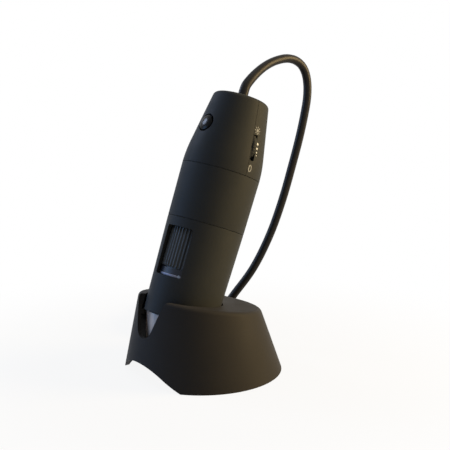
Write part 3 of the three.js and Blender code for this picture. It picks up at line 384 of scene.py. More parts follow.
def circuit_board(name, mask, over_copper, roughness):
    made, tree, place = start_material(name)
    tracks = add(tree, "ShaderNodeTexVoronoi", {"Vector": place, "Scale": 1 / (TRACK_PITCH_MM * MM)},
                 feature="DISTANCE_TO_EDGE")
    copper = add(tree, "ShaderNodeMapRange", {
        "Value": tracks.outputs["Distance"], "From Min": TRACK_EDGE_NEAR, "From Max": TRACK_EDGE_FAR,
        "To Min": 1.0, "To Max": 0.0,
    })
    colour = add(tree, "ShaderNodeMix", {
        MIX_SHARE: copper.outputs["Result"], MIX_DARK: linear(mask), MIX_LIGHT: linear(over_copper),
    }, data_type="RGBA")
    bump = add(tree, "ShaderNodeBump", {
        "Height": copper.outputs["Result"], "Strength": TRACK_STRENGTH,
        "Distance": COPPER_THICKNESS_MM * MM,
    })
    shader = add(tree, "ShaderNodeBsdfPrincipled", {
        "Base Color": colour.outputs[MIXED], "Roughness": roughness, "IOR": PLASTIC_IOR,
        "Normal": bump.outputs["Normal"],
    })
    add(tree, "ShaderNodeOutputMaterial", {"Surface": shader.outputs["BSDF"]})
    return made


board_laminate = circuit_board("green_circuit_board", "#1d5a34", "#3c8a4c", 0.35)
print("circuit board ready")

# %% [markdown]
# The cable tie is a strip of hook-and-loop tape. Up close its face is a mat of tiny hooks in rows, which
# catches no highlight at all. The rows are half a millimetre apart. The marks on the housing and the
# index on the ring are printed with a soft pad, in a dull white ink.

# %% Hook-and-loop tape and printing ink
HOOK_PITCH_MM = 0.5
HOOK_STRENGTH = 0.8
HOOK_HEIGHT_MM = 0.15
HOOK_SHEEN = 0.2


def hook_tape(name, dark, light, roughness):
    made, tree, place = start_material(name)
    hooks = add(tree, "ShaderNodeTexVoronoi", {"Vector": place, "Scale": 1 / (HOOK_PITCH_MM * MM)})
    colour = add(tree, "ShaderNodeMix", {
        MIX_SHARE: hooks.outputs["Distance"], MIX_DARK: linear(dark), MIX_LIGHT: linear(light),
    }, data_type="RGBA")
    bump = add(tree, "ShaderNodeBump", {
        "Height": hooks.outputs["Distance"], "Strength": HOOK_STRENGTH, "Distance": HOOK_HEIGHT_MM * MM,
    })
    shader = add(tree, "ShaderNodeBsdfPrincipled", {
        "Base Color": colour.outputs[MIXED], "Roughness": roughness, "Sheen Weight": HOOK_SHEEN,
        "Normal": bump.outputs["Normal"],
    })
    add(tree, "ShaderNodeOutputMaterial", {"Surface": shader.outputs["BSDF"]})
    return made


tape = hook_tape("hook_and_loop_tape", "#0b0b0c", "#1c1c1e", 0.9)
marking_ink = moulded_plastic("white_pad_print", "#a2a9b3", "#abb1ba", 0.6, 0.3, reflect=0.2)
# The sign and the zero are printed thinner, so that the black shows through
thin_ink = moulded_plastic("thin_white_pad_print", "#6c7076", "#777a80", 0.6, 0.3, reflect=0.2)
print("tape and inks ready")

# %% [markdown]
# The cable is drawn as a round tube along a route.
# It leaves the crown straight, arches over behind the microscope and sinks to the table, along a list of
# points. There it is wound into a coil, and that part follows a formula: it spirals in and out again, one
# layer lower each time, and sinks in the half turn where it reverses.

# %% Route of the cable
CABLE_DIAMETER = 4
CROWN_HEIGHT = 101.7
GROMMET_FLANGE = 0.9
GAP = 0.3
cable_route = [
    (0, 24.3, 126.6), (0, 27, 129.4), (-0.2, 30.3, 132), (-0.4, 34.3, 134.6), (-0.7, 39, 136.8),
    (-1, 44, 138.3), (-1.3, 49.5, 139.1), (-1.6, 54.7, 138.5), (-1.9, 59.3, 136.2), (-2.1, 62.1, 132.6),
    (-2.2, 63.5, 127.8), (-2.4, 63.7, 121), (-3.4, 62.8, 112), (-4.7, 61.1, 101.5), (-6.5, 58.8, 89.6),
    (-9.5, 54.8, 71), (-13.1, 50, 53.6), (-18, 43.6, 36.9), (-23.4, 36.2, 24),
]
COIL_ACROSS = -6.5
COIL_BEHIND = 69.1
COIL_OUTER_RADIUS = 30.4
COIL_LAYERS = 2
COIL_TURNS_PER_LAYER = 4.125
COIL_PITCH = 4.5
SINKING_TURNS = 1 / 2
TIE_THICKNESS = 0.5
coil_inner_radius = COIL_OUTER_RADIUS - COIL_TURNS_PER_LAYER * COIL_PITCH
coil_top = TIE_THICKNESS + GAP + CABLE_DIAMETER / 2 + (COIL_LAYERS - 1) * COIL_PITCH


def smooth_step(value, start, end):
    """Rises from 0 to 1 between start and end, without a corner at either."""
    share = min(max((value - start) / (end - start), 0), 1)
    return share * share * (3 - 2 * share)


def coil_point(turns):
    layer = min(int(turns / COIL_TURNS_PER_LAYER), COIL_LAYERS - 1)
    along = turns / COIL_TURNS_PER_LAYER - layer
    inward = along if layer % 2 == 0 else 1 - along
    radius = COIL_OUTER_RADIUS + (coil_inner_radius - COIL_OUTER_RADIUS) * inward
    height = coil_top
    for change in range(1, COIL_LAYERS):
        start = change * COIL_TURNS_PER_LAYER - SINKING_TURNS / 2
        height -= COIL_PITCH * smooth_step(turns, start, start + SINKING_TURNS)
    angle = -math.pi / 2 - 2 * math.pi * turns
    return Vector((COIL_ACROSS + radius * math.cos(angle), COIL_BEHIND + radius * math.sin(angle), height))


coil_turns = COIL_LAYERS * COIL_TURNS_PER_LAYER
print("coil of", coil_turns, "turns, inner radius", round(coil_inner_radius, 2), "mm")

# %% [markdown]
# One smooth curve runs through all of these points. A curve knotted by the root of the distances between
# its points neither loops nor bulges where they are spaced unevenly. The coil has sixteen points a turn,
# and the curve rounds them off. The coil and the plug are drawn straight behind the foot and then turned
# round it together, to where the microscope hides them.

# %% Curve of the cable
PARK_TURN = Matrix.Rotation(math.radians(53), 4, "Z")
PLUG_HEIGHT = 7.8
PLUG_START = -26.4
PLUG_BEHIND = 110.3
TAIL_BEND = 10
COIL_STEPS = 16
CABLE_STEP = 1.6


def curve_through(points, step):
    """Points a step apart on a smooth curve through the given ones."""
    chain = [2 * points[0] - points[1], *points, 2 * points[-1] - points[-2]]
    made = []
    for p0, p1, p2, p3 in zip(chain, chain[1:], chain[2:], chain[3:]):
        t1 = (p1 - p0).length ** 0.5
        t2 = t1 + (p2 - p1).length ** 0.5
        t3 = t2 + (p3 - p2).length ** 0.5
        count = max(1, round((p2 - p1).length / step))
        for i in range(count):
            t = t1 + (t2 - t1) * i / count
            a1 = p0 * ((t1 - t) / t1) + p1 * (t / t1)
            a2 = p1 * ((t2 - t) / (t2 - t1)) + p2 * ((t - t1) / (t2 - t1))
            a3 = p2 * ((t3 - t) / (t3 - t2)) + p3 * ((t - t2) / (t3 - t2))
            b1 = a1 * ((t2 - t) / t2) + a2 * (t / t2)
            b2 = a2 * ((t3 - t) / (t3 - t1)) + a3 * ((t - t1) / (t3 - t1))
            made.append(b1 * ((t2 - t) / (t2 - t1)) + b2 * ((t - t1) / (t2 - t1)))
    made.append(points[-1].copy())
    return made


def points_from_crown():
    exit_height = CROWN_HEIGHT + GAP + GROMMET_FLANGE + GAP
    to_cradle = CRADLE.inverted() @ BARREL
    straight = [Vector((0, 0, height)) for height in (exit_height, exit_height + CABLE_DIAMETER / 2)]
    return [to_cradle @ point for point in straight] + [Vector(point) for point in cable_route]


def points_to_plug(start):
    """From the end of the coil: along behind it, round a bend, and level into the plug."""
    corner = PLUG_BEHIND - TAIL_BEND
    plug_middle = PLUG_HEIGHT / 2
    rise = plug_middle - start.z
    diagonal = math.sqrt(0.5)
    return [
        start + Vector((0, CABLE_DIAMETER, 0)),
        Vector((start.x, (start.y + corner) / 2 + CABLE_DIAMETER / 2, start.z + rise / 4)),
        Vector((start.x, corner, start.z + rise / 2)),
        Vector((
            start.x + TAIL_BEND * (1 - diagonal), corner + TAIL_BEND * diagonal, start.z + rise * 3 / 4,
        )),
        Vector((start.x + TAIL_BEND, PLUG_BEHIND, plug_middle)),
        Vector((PLUG_START, PLUG_BEHIND, plug_middle)),
    ]


def cable_points():
    steps = round(coil_turns * COIL_STEPS)
    coil = [coil_point(coil_turns * i / steps) for i in range(steps + 1)]
    lead_in = [coil[0] + Vector((CABLE_DIAMETER * 2, 0, 0)), coil[0] + Vector((CABLE_DIAMETER, 0, 0))]
    parked = [PARK_TURN @ point for point in (*lead_in, *coil, *points_to_plug(coil[-1]))]
    return [CRADLE @ point for point in curve_through(points_from_crown() + parked, CABLE_STEP)]


route = cable_points()

# %% [markdown]
# Every piece is a mesh made in code, and ends the same way: its faces are turned outwards, it is shaded
# smooth up to an angle, so that crisp edges stay crisp, and it gets its one finish.

# %% Mesh helpers
SMOOTH_BELOW = 35


def put_mesh(name, verts, faces):
    made = bpy.data.objects.new(name, bpy.data.meshes.new(name))
    made.data.from_pydata(verts, [], faces)
    bpy.context.scene.collection.objects.link(made)
    return made


def face_outwards(piece):
    shape = bmesh.new()
    shape.from_mesh(piece.data)
    bmesh.ops.recalc_face_normals(shape, faces=shape.faces)
    shape.to_mesh(piece.data)
    shape.free()


def finish_piece(piece, material, smooth_below=SMOOTH_BELOW):
    face_outwards(piece)
    piece.data.shade_smooth()
    piece.data.set_sharp_from_angle(angle=math.radians(smooth_below))
    piece.data.materials.clear()
    piece.data.materials.append(material)
    return piece


def ring_faces(rings, count, closed):
    """Faces between rings of count points each, and from the last ring to the first if closed."""
    faces = []
    for ring in range(rings if closed else rings - 1):
        here, there = ring * count, (ring + 1) % rings * count
        for i in range(count):
            j = (i + 1) % count
            faces.append((here + i, here + j, there + j, there + i))
    return faces


print("two rings of four points share", len(ring_faces(2, 4, False)), "faces")

# %% [markdown]
# The cable is a tube swept along its route. At each point the ring of corners is turned as little as
# possible from the last, so the tube never twists. Where the cable leaves the crown its sheath is a
# little thicker, because it is bonded to the entry there.

# %% Sweep the cable
CABLE_SIDES = 16
FLARE = 0.3
FLARE_LENGTH = 22


def sweep_tube(name, points, radii, sides):
    verts = []
    ahead = (points[1] - points[0]).normalized()
    side = ahead.cross(Vector((1, 0, 0))).normalized()
    for i, point in enumerate(points):
        before = points[max(i - 1, 0)]
        after = points[min(i + 1, len(points) - 1)]
        ahead = (after - before).normalized()
        side = (side - ahead * side.dot(ahead)).normalized()
        rise = ahead.cross(side)
        for corner in range(sides):
            angle = 2 * math.pi * corner / sides
            verts.append(point + side * radii[i] * math.cos(angle) + rise * radii[i] * math.sin(angle))
    faces = ring_faces(len(points), sides, False)
    faces.append(tuple(range(sides - 1, -1, -1)))
    faces.append(tuple(range((len(points) - 1) * sides, len(points) * sides)))
    return put_mesh(name, verts, faces)


thicker = [FLARE * (1 - smooth_step(i * CABLE_STEP, 0, FLARE_LENGTH)) for i in range(len(route))]
cable = sweep_tube("cable", route, [(CABLE_DIAMETER / 2 + more) * MM for more in thicker], CABLE_SIDES)
finish_piece(cable, cable_pvc)
print("cable has", len(cable.data.polygons), "faces")

# %% [markdown]
# The pieces are drawn as outlines first. An outline is a short list of corners, each with its own
# rounding. Real mouldings have no knife edges: even a crisp edge has a radius of a few tenths of a
# millimetre, and that is what catches the light.

# %% Outlines
ROUND_STEPS = 5


def rounded(corners, steps=ROUND_STEPS):
    """An outline from (x, y, radius) corners, each radius drawn as an arc."""
    made = []
    for i, (x, y, *radius) in enumerate(corners):
        corner = Vector((x, y))
        if not radius or not radius[0]:
            made.append(corner)
            continue
        before = Vector(corners[i - 1][:2]) - corner
        after = Vector(corners[(i + 1) % len(corners)][:2]) - corner
        half_angle = before.angle(after) / 2
        longest = min(before.length, after.length) / 2
        reach = min(radius[0] / math.tan(half_angle), longest)
        inward = (before.normalized() + after.normalized()).normalized()
        middle = corner + inward * (reach / math.cos(half_angle))
        start = corner + before.normalized() * reach - middle
        end = corner + after.normalized() * reach - middle
        turn = start.angle_signed(end)
        for step in range(steps + 1):
            made.append(middle + Matrix.Rotation(-turn * step / steps, 2) @ start)
    return made


def rectangle(width, height, radius, x=0, y=0):
    half, tall = width / 2, height / 2
    corners = [(x + half, y - tall), (x + half, y + tall), (x - half, y + tall), (x - half, y - tall)]
    return rounded([(*corner, radius) for corner in corners])


def circle(radius, count):
    angles = [2 * math.pi * i / count for i in range(count)]
    return [(radius * math.cos(angle), radius * math.sin(angle)) for angle in angles]


print("a rounded rectangle has", len(rectangle(2, 1, 0.1)), "points")

# %% [markdown]
# Most pieces of a microscope are turned, so the main tool is an outline spun round the barrel's axis. The
# second is a prism, an outline with a bottom and a top. A rod is a round prism, for bores and discs.

# %% Turned pieces and prisms
SEGMENTS = 144


def new_piece(name, verts, faces, place):
    made = put_mesh(name, [place @ Vector(v) for v in verts], faces)
    face_outwards(made)
    return made


def spin(name, corners, place=BARREL, segments=SEGMENTS, steps=ROUND_STEPS):
    """A turned piece from a closed outline of (radius, height, rounding) corners."""
    outline = rounded(corners, steps)
    verts = []
    rows = []
    for point in outline:
        if abs(point.x) < 1e-9:
            rows.append([len(verts)] * segments)
            verts.append((0, 0, point.y))
            continue
        rows.append(range(len(verts), len(verts) + segments))
        verts += [(x, y, point.y) for x, y in circle(point.x, segments)]
    faces = []
    for row, above in zip(rows, rows[1:] + rows[:1]):
        for i in range(segments):
            j = (i + 1) % segments
            ring = list(dict.fromkeys((row[i], row[j], above[j], above[i])))
            if len(ring) > 2:
                faces.append(ring)
    return new_piece(name, verts, faces, place)


def extrude(name, outline, bottom, top, place=BARREL):
    count = len(outline)
    verts = [(p[0], p[1], z) for z in (bottom, top) for p in outline]
    faces = [tuple(range(count - 1, -1, -1)), tuple(range(count, 2 * count))]
    faces += [(i, (i + 1) % count, (i + 1) % count + count, i + count) for i in range(count)]
    return new_piece(name, verts, faces, place)


def rod(name, radius, bottom, top, place=BARREL, count=SEGMENTS):
    return extrude(name, circle(radius, count), bottom, top, place)


print("turned pieces have", SEGMENTS, "sides")

# %% [markdown]
# Windows, slots and bores are cut out of these shapes with booleans, as a cutter would, and each change
# is applied at once, so that a piece ends as a plain mesh.

# %% Cuts and soft edges
def apply_changes(piece):
    made = bpy.data.meshes.new_from_object(piece.evaluated_get(bpy.context.evaluated_depsgraph_get()))
    piece.modifiers.clear()
    piece.data = made


def carve(piece, *tools, operation="DIFFERENCE"):
    """Cuts tools out of a piece, or keeps what they share, and throws the tools away."""
    for tool in tools:
        change = piece.modifiers.new("carve", "BOOLEAN")
        change.operation = operation
        change.solver = "EXACT"
        change.object = tool
    apply_changes(piece)
    for tool in tools:
        bpy.data.objects.remove(tool)
    return piece


def soften(piece, width, segments, above_degrees):
    """Rounds the edges that are sharper than an angle."""
    change = piece.modifiers.new("soften", "BEVEL")
    change.width = width * MM
    change.segments = segments
    change.limit_method = "ANGLE"
    change.angle_limit = math.radians(above_degrees)
    change.miter_outer = "MITER_ARC"
    apply_changes(piece)


print("cutting tools ready")

# %% [markdown]
# The outside of the barrel is one long flowing line: it widens a little from the lower end to the upper
# seam, turns over a soft shoulder and tapers to the crown. All three housings share this line, so it is a
# function of height.

# %% Outside of the microscope
LOWER_END_RADIUS = 16.2
LOWER_SEAM_RADIUS = 17.35
UPPER_SEAM_RADIUS = 17.75
CROWN_RADIUS = 12.6
LOWER_LENGTH = 42.9
MID_LENGTH = 24.4
SHOULDER_LENGTH = 10
upper_seam = LOWER_LENGTH + MID_LENGTH
taper = (UPPER_SEAM_RADIUS - CROWN_RADIUS) / (CROWN_HEIGHT - upper_seam - SHOULDER_LENGTH / 2)


def outside_radius(height):
    if height <= LOWER_LENGTH:
        return LOWER_END_RADIUS + (LOWER_SEAM_RADIUS - LOWER_END_RADIUS) * height / LOWER_LENGTH
    if height <= upper_seam:
        up = height - LOWER_LENGTH
        return LOWER_SEAM_RADIUS + (UPPER_SEAM_RADIUS - LOWER_SEAM_RADIUS) * up / MID_LENGTH
    up = height - upper_seam
    if up <= SHOULDER_LENGTH:
        return UPPER_SEAM_RADIUS - taper * up * up / (2 * SHOULDER_LENGTH)
    return UPPER_SEAM_RADIUS - taper * (up - SHOULDER_LENGTH / 2)


print("widest", round(2 * outside_radius(upper_seam), 2), "mm at the upper seam")

# %% [markdown]
# The cradle is a hollow moulding. Its foot is a circle and its rim a tilted ellipse, so its wall is a
# loft: straight lines from one to the other, with the rim's edge rounded over. The same function, drawn a
# wall's thickness further in, gives the hollow.

# %% Cradle wall
RIM_HALF_WIDTH = 26.95
RIM_HALF_LENGTH = 27.95
RIM_CENTRE_Y = -1.5
RIM_HEIGHT = 31.75
RIM_TILT = math.radians(10.7)
RIM_ROUND = 1.8
RIM_STEPS = 8


def loft_cradle(name, inset, below):
    """The cradle's solid form, drawn inset from the outside and carried on below the table."""
    up = Vector((0, math.sin(RIM_TILT), math.cos(RIM_TILT)))
    centre = Vector((0, RIM_CENTRE_Y, RIM_HEIGHT)) - up * inset
    edge = RIM_ROUND - inset
    verts = []
    for i in range(SEGMENTS):
        angle = 2 * math.pi * i / SEGMENTS
        along = (RIM_HALF_LENGTH - inset) * math.sin(angle)
        across = (RIM_HALF_WIDTH - inset) * math.cos(angle)
        rim = centre + Vector((across, along * math.cos(RIM_TILT), -along * math.sin(RIM_TILT)))
        foot = Vector((math.cos(angle), math.sin(angle), 0)) * (FOOT_RADIUS - inset)
        side = rim + (foot - rim).normalized() * edge
        flat = rim + (centre - rim).normalized() * edge
        verts.append(foot + (foot - rim) * (below / rim.z))
        for step in range(RIM_STEPS + 1):
            t = step / RIM_STEPS
            verts.append(side * (1 - t) ** 2 + rim * (2 * t * (1 - t)) + flat * t * t)
    rows = RIM_STEPS + 2
    faces = []
    for i in range(SEGMENTS):
        here, there = i * rows, (i + 1) % SEGMENTS * rows
        faces += [(here + row, there + row, there + row + 1, here + row + 1) for row in range(rows - 1)]
    faces.append([i * rows for i in reversed(range(SEGMENTS))])
    faces.append([i * rows + rows - 1 for i in range(SEGMENTS)])
    return new_piece(name, verts, faces, CRADLE)


cradle = loft_cradle("cradle_moulding", 0, 0)
print("cradle wall has", len(cradle.data.polygons), "faces")

# %% [markdown]
# Two openings are cut in the front. The notch under the window is a V with a round bottom: an arc, and
# two flanks that touch it. The arch in the foot is a flat arc whose ends run straight down to the table.

# %% Outlines of the notch and the arch
NOTCH_BOTTOM = 19.5
NOTCH_ROUND = 5.8
NOTCH_FLANK = math.radians(21)
NOTCH_STEPS = 16
ARCH_HALF_WIDTH = 22.6
ARCH_HEIGHT = 8.9
ARCH_ROUND = 28
ARCH_STEPS = 24
OVERRUN = 4


def arc(radius, middle, start, end, steps):
    angles = [start + (end - start) * step / steps for step in range(steps + 1)]
    return [(radius * math.cos(angle), middle + radius * math.sin(angle)) for angle in angles]


def notch_outline():
    points = arc(NOTCH_ROUND, NOTCH_BOTTOM + NOTCH_ROUND, -math.pi + NOTCH_FLANK, -NOTCH_FLANK, NOTCH_STEPS)
    top = RIM_HEIGHT + RIM_HALF_LENGTH
    half_top = points[-1][0] + (top - points[-1][1]) * math.tan(NOTCH_FLANK)
    return points + [(half_top, top), (-half_top, top)]


def arch_outline():
    middle = ARCH_HEIGHT - ARCH_ROUND
    reach = math.hypot(ARCH_HALF_WIDTH, middle)
    touch = math.atan2(-middle, ARCH_HALF_WIDTH) + math.acos(ARCH_ROUND / reach)
    points = arc(ARCH_ROUND, middle, touch, math.pi - touch, ARCH_STEPS)
    slope = points[0][1] / (ARCH_HALF_WIDTH - points[0][0])
    half_foot = ARCH_HALF_WIDTH + OVERRUN / slope
    return points + [(-half_foot, -OVERRUN), (half_foot, -OVERRUN)]


print("notch of", len(notch_outline()), "points, arch of", len(arch_outline()))

# %% [markdown]
# The inside is cut with the hollow, but a leaning sleeve for the barrel and three ribs are taken out of
# the hollow first, so they are left standing in the cradle. The socket's bore follows, down to a ledge
# that carries the barrel, with a hole for the nose.

# %% Inside of the cradle
CRADLE_WALL = 1.6
SOCKET_WALL = 1.8
SOCKET_PLAY = 0.65
SOCKET_DEPTH = 11
LEDGE_THICKNESS = 2
LEDGE_PLAY = 0.5
NOSE_TOP_INSET = 1.3
CRADLE_RIB_THICKNESS = 1.6
CRADLE_RIB_DEPTH = 15
socket_radius = outside_radius(SOCKET_DEPTH) + SOCKET_PLAY
sleeve_radius = socket_radius + SOCKET_WALL
ledge_bottom = -GAP - LEDGE_THICKNESS


def cradle_hollow():
    hollow = loft_cradle("hollow", CRADLE_WALL, OVERRUN)
    carve(hollow, rod("sleeve", sleeve_radius, ledge_bottom, RIM_HALF_LENGTH))
    half = CRADLE_RIB_THICKNESS / 2
    low = RIM_HEIGHT - CRADLE_RIB_DEPTH
    flat_y = AXIS_FOOT_Y / 2
    flat = [(-FOOT_RADIUS, flat_y - half), (FOOT_RADIUS, flat_y - half)]
    flat += [(FOOT_RADIUS, flat_y + half), (-FOOT_RADIUS, flat_y + half)]
    deep = [(-half, 0), (half, 0), (half, FOOT_RADIUS), (-half, FOOT_RADIUS)]
    for outline, bottom in ((flat, low), (deep, low - CRADLE_RIB_DEPTH / 3)):
        rib = extrude("rib", outline, bottom, RIM_HEIGHT + RIM_HALF_LENGTH, CRADLE)
        carve(rib, rod("below", sleeve_radius, ledge_bottom - FOOT_RADIUS, ledge_bottom))
        carve(hollow, rib)
    return hollow


def cut_cradle():
    nose_hole = LOWER_END_RADIUS - NOSE_TOP_INSET + LEDGE_PLAY
    upright = CRADLE @ Matrix.Rotation(math.pi / 2, 4, "X")
    for tool in (
        cradle_hollow(),
        rod("bore", socket_radius, -GAP, RIM_HALF_LENGTH + OVERRUN),
        rod("ledge_hole", nose_hole, ledge_bottom - OVERRUN, OVERRUN),
        extrude("notch", notch_outline(), -AXIS_FOOT_Y / 2, FOOT_RADIUS + OVERRUN, upright),
        extrude("arch", arch_outline(), FOOT_RADIUS / 2, FOOT_RADIUS + OVERRUN, upright),
    ):
        carve(cradle, tool)


cut_cradle()
finish_piece(cradle, cradle_lacquer)
print("cradle has", len(cradle.data.polygons), "faces")

# %% [markdown]
# The lower housing is a turned tube with a window cut in its front. Behind the window a shelf carries the
# focus ring, and below that a partition closes off the lamps. The window isn't quite in the middle of the
# front, and a real one is punched by a slide in the mould, so its sides are parallel.

# %% Lower housing
SEAM_GAP = 0.16
SEAM_EDGE = 0.13
RING_BORE_WALL = 1
SHELF_WIDTH = 1
PARTITION_HEIGHT = 6.2
PARTITION_THICKNESS = 2
PARTITION_RADIUS = 7.4
WINDOW_BOTTOM = 16.9
WINDOW_HEIGHT = 21.8
WINDOW_WIDTH = 14.4
WINDOW_CORNER = 0.9
WINDOW_TURN = math.radians(13.5)
ring_bore = LOWER_END_RADIUS - RING_BORE_WALL
lamp_bore = ring_bore - SHELF_WIDTH
ring_shelf = WINDOW_BOTTOM - 2 * GAP
half_seam = SEAM_GAP / 2


def build_lower_housing():
    top = LOWER_LENGTH - half_seam
    shelf_top = PARTITION_HEIGHT + PARTITION_THICKNESS
    housing = spin("lower_housing", [
        (LOWER_END_RADIUS, 0, SEAM_EDGE),
        (outside_radius(top), top, SEAM_EDGE),
        (ring_bore, top, SEAM_EDGE / 2),
        (ring_bore, ring_shelf),
        (lamp_bore, ring_shelf),
        (lamp_bore, shelf_top),
        (PARTITION_RADIUS, shelf_top),
        (PARTITION_RADIUS, PARTITION_HEIGHT),
        (lamp_bore, PARTITION_HEIGHT),
        (lamp_bore, 0, SEAM_EDGE / 2),
    ])
    middle = WINDOW_BOTTOM + WINDOW_HEIGHT / 2
    turned = BARREL @ Matrix.Rotation(WINDOW_TURN, 4, "Z") @ Matrix.Rotation(math.pi / 2, 4, "X")
    outline = rectangle(WINDOW_WIDTH, WINDOW_HEIGHT, WINDOW_CORNER, 0, middle)
    carve(housing, extrude("window", outline, PARTITION_RADIUS, LOWER_SEAM_RADIUS + OVERRUN, turned))
    return finish_piece(housing, soft_touch)


lower_housing = build_lower_housing()
print("lower housing has", len(lower_housing.data.polygons), "faces")

# %% [markdown]
# The middle housing is a plain tube with a neck at its lower end, which plugs into the housing below.
# Between the two a seam of a sixth of a millimetre stays open, as in any pair of mouldings, and draws a
# thin dark line.

# %% Middle housing
MID_WALL = 1.8
MID_SHELF = 1.6
MID_NECK_WALL = 1.6
MID_NECK_LENGTH = 3.6


def build_mid_housing():
    bottom = LOWER_LENGTH + half_seam
    top = upper_seam - half_seam
    neck_radius = ring_bore - GAP
    neck_bottom = LOWER_LENGTH - MID_NECK_LENGTH
    bore = LOWER_SEAM_RADIUS - MID_WALL
    shelf = bottom + MID_SHELF
    housing = spin("mid_housing", [
        (neck_radius - MID_NECK_WALL, neck_bottom),
        (neck_radius, neck_bottom, SEAM_EDGE),
        (neck_radius, bottom),
        (outside_radius(bottom), bottom, SEAM_EDGE),
        (outside_radius(top), top, SEAM_EDGE),
        (bore, top, SEAM_EDGE / 2),
        (bore, shelf),
        (neck_radius - MID_NECK_WALL, shelf),
    ])
    return finish_piece(housing, soft_touch)


mid_housing = build_mid_housing()
print("middle housing has", len(mid_housing.data.polygons), "faces")

# %% [markdown]
# The upper housing is moulded in a front and a back half, which meet in a parting line at the sides. It
# is drawn as one hollow body and then split, so that both halves stay exactly in line. Its shoulder is a
# curve, so the outline follows it in twelve steps.

# %% Body of the upper housing
SHELL_WALL = 1.8
SHELL_NECK_WALL = 1.4
SHELL_NECK_LENGTH = 4.5
SHELL_SHELF = 1.4
SHOULDER_STEPS = 12
CROWN_ROUND = 2.2
CROWN_STEPS = 8
GROMMET_HOLE_RADIUS = 3.1
shell_wide = UPPER_SEAM_RADIUS + OVERRUN


def upper_body(name):
    bottom = upper_seam + half_seam
    floor = bottom + SHELL_SHELF
    ceiling = CROWN_HEIGHT - SHELL_WALL
    neck = LOWER_SEAM_RADIUS - MID_WALL - GAP
    neck_bottom = upper_seam - SHELL_NECK_LENGTH
    heights = [upper_seam + SHOULDER_LENGTH * i / SHOULDER_STEPS for i in range(1, SHOULDER_STEPS + 1)]
    return spin(name, [
        (neck - SHELL_NECK_WALL, neck_bottom),
        (neck, neck_bottom, SEAM_EDGE),
        (neck, bottom),
        (outside_radius(bottom), bottom, SEAM_EDGE),
        *((outside_radius(z), z) for z in heights),
        (outside_radius(CROWN_HEIGHT), CROWN_HEIGHT, CROWN_ROUND),
        (GROMMET_HOLE_RADIUS, CROWN_HEIGHT),
        (GROMMET_HOLE_RADIUS, ceiling),
        (outside_radius(ceiling) - SHELL_WALL, ceiling, CROWN_ROUND / 2),
        *((outside_radius(z) - SHELL_WALL, z) for z in reversed(heights) if z > floor),
        (outside_radius(floor) - SHELL_WALL, floor),
        (neck - SHELL_NECK_WALL, floor),
    ], steps=CROWN_STEPS)


def half_body(name, front_y, back_y):
    outline = [(-shell_wide, front_y), (shell_wide, front_y), (shell_wide, back_y), (-shell_wide, back_y)]
    low = upper_seam - SHELL_NECK_LENGTH - OVERRUN
    half = extrude("half", outline, low, CROWN_HEIGHT + OVERRUN)
    return carve(upper_body(name), half, operation="INTERSECT")


upper_back = half_body("upper_back_housing", half_seam, shell_wide)
upper_front = half_body("upper_front_housing", -shell_wide, -half_seam)
print("upper housing split in two")

# %% [markdown]
# The thumbwheel stands in a slot at the side, which the two halves share, with a round room behind it
# that it turns in. The button has a round hole in the front half, square to the tapering skin, and a
# wider pocket behind it for the flange that keeps it from falling out.

# %% Slot and button hole
BUTTON_HEIGHT = 85.7
BUTTON_HOLE_RADIUS = 4.3
BUTTON_PROUD = 0.55
BUTTON_CAP_DEPTH = 1.6
BUTTON_FLANGE_RADIUS = 4.4
BUTTON_SEGMENTS = 96
DIAL_HEIGHT = 79.9
DIAL_RADIUS = 8.5
DIAL_THICKNESS = 2
DIAL_PROUD = 1
DIAL_FRONT_Y = 0.45
SLOT_LENGTH = 11
SLOT_PLAY = 0.17
SLOT_ROUND = 0.6
dial_x = outside_radius(DIAL_HEIGHT) + DIAL_PROUD - DIAL_RADIUS
button_seat = BUTTON_PROUD - BUTTON_CAP_DEPTH
DIAL = BARREL @ Matrix.Rotation(-math.pi / 2, 4, "X") @ Matrix.Translation((dial_x, -DIAL_HEIGHT, 0))
BUTTON = BARREL @ Matrix.Translation((0, -outside_radius(BUTTON_HEIGHT), BUTTON_HEIGHT))
BUTTON = BUTTON @ Matrix.Rotation(math.pi / 2 - math.atan(taper), 4, "X")


def slot_tools():
    back = DIAL_FRONT_Y + DIAL_THICKNESS + SLOT_PLAY
    front = DIAL_FRONT_Y - SLOT_PLAY
    side = BARREL @ Matrix.Translation((0, 0, DIAL_HEIGHT))
    side = side @ Matrix.Rotation(math.pi / 2, 4, "Z") @ Matrix.Rotation(math.pi / 2, 4, "X")
    outline = rectangle(back - front, SLOT_LENGTH, SLOT_ROUND, (back + front) / 2, 0)
    slot = extrude("slot", outline, dial_x, outside_radius(DIAL_HEIGHT) + OVERRUN, side)
    return slot, rod("room", DIAL_RADIUS + GAP, front, back, DIAL)


def button_tools():
    low = button_seat - OVERRUN
    hole = rod("hole", BUTTON_HOLE_RADIUS, low, OVERRUN, BUTTON, BUTTON_SEGMENTS)
    pocket = rod("pocket", BUTTON_FLANGE_RADIUS + GAP, low, button_seat + GAP, BUTTON, BUTTON_SEGMENTS)
    return hole, pocket


carve(upper_back, *slot_tools())
carve(upper_front, *button_tools(), *slot_tools())
for housing in (upper_back, upper_front):
    finish_piece(housing, soft_touch)
    print(housing.name, "has", len(housing.data.polygons), "faces")

# %% [markdown]
# The focus ring is a tube with ribs along it for the fingertip. Each rib has a flat crest and sloping
# flanks, drawn as a wave that is clipped at the top. Its lower end is plain and carries the scale band.
# The thumbwheel will be made the same way, as rows of points that a groove draws inwards.

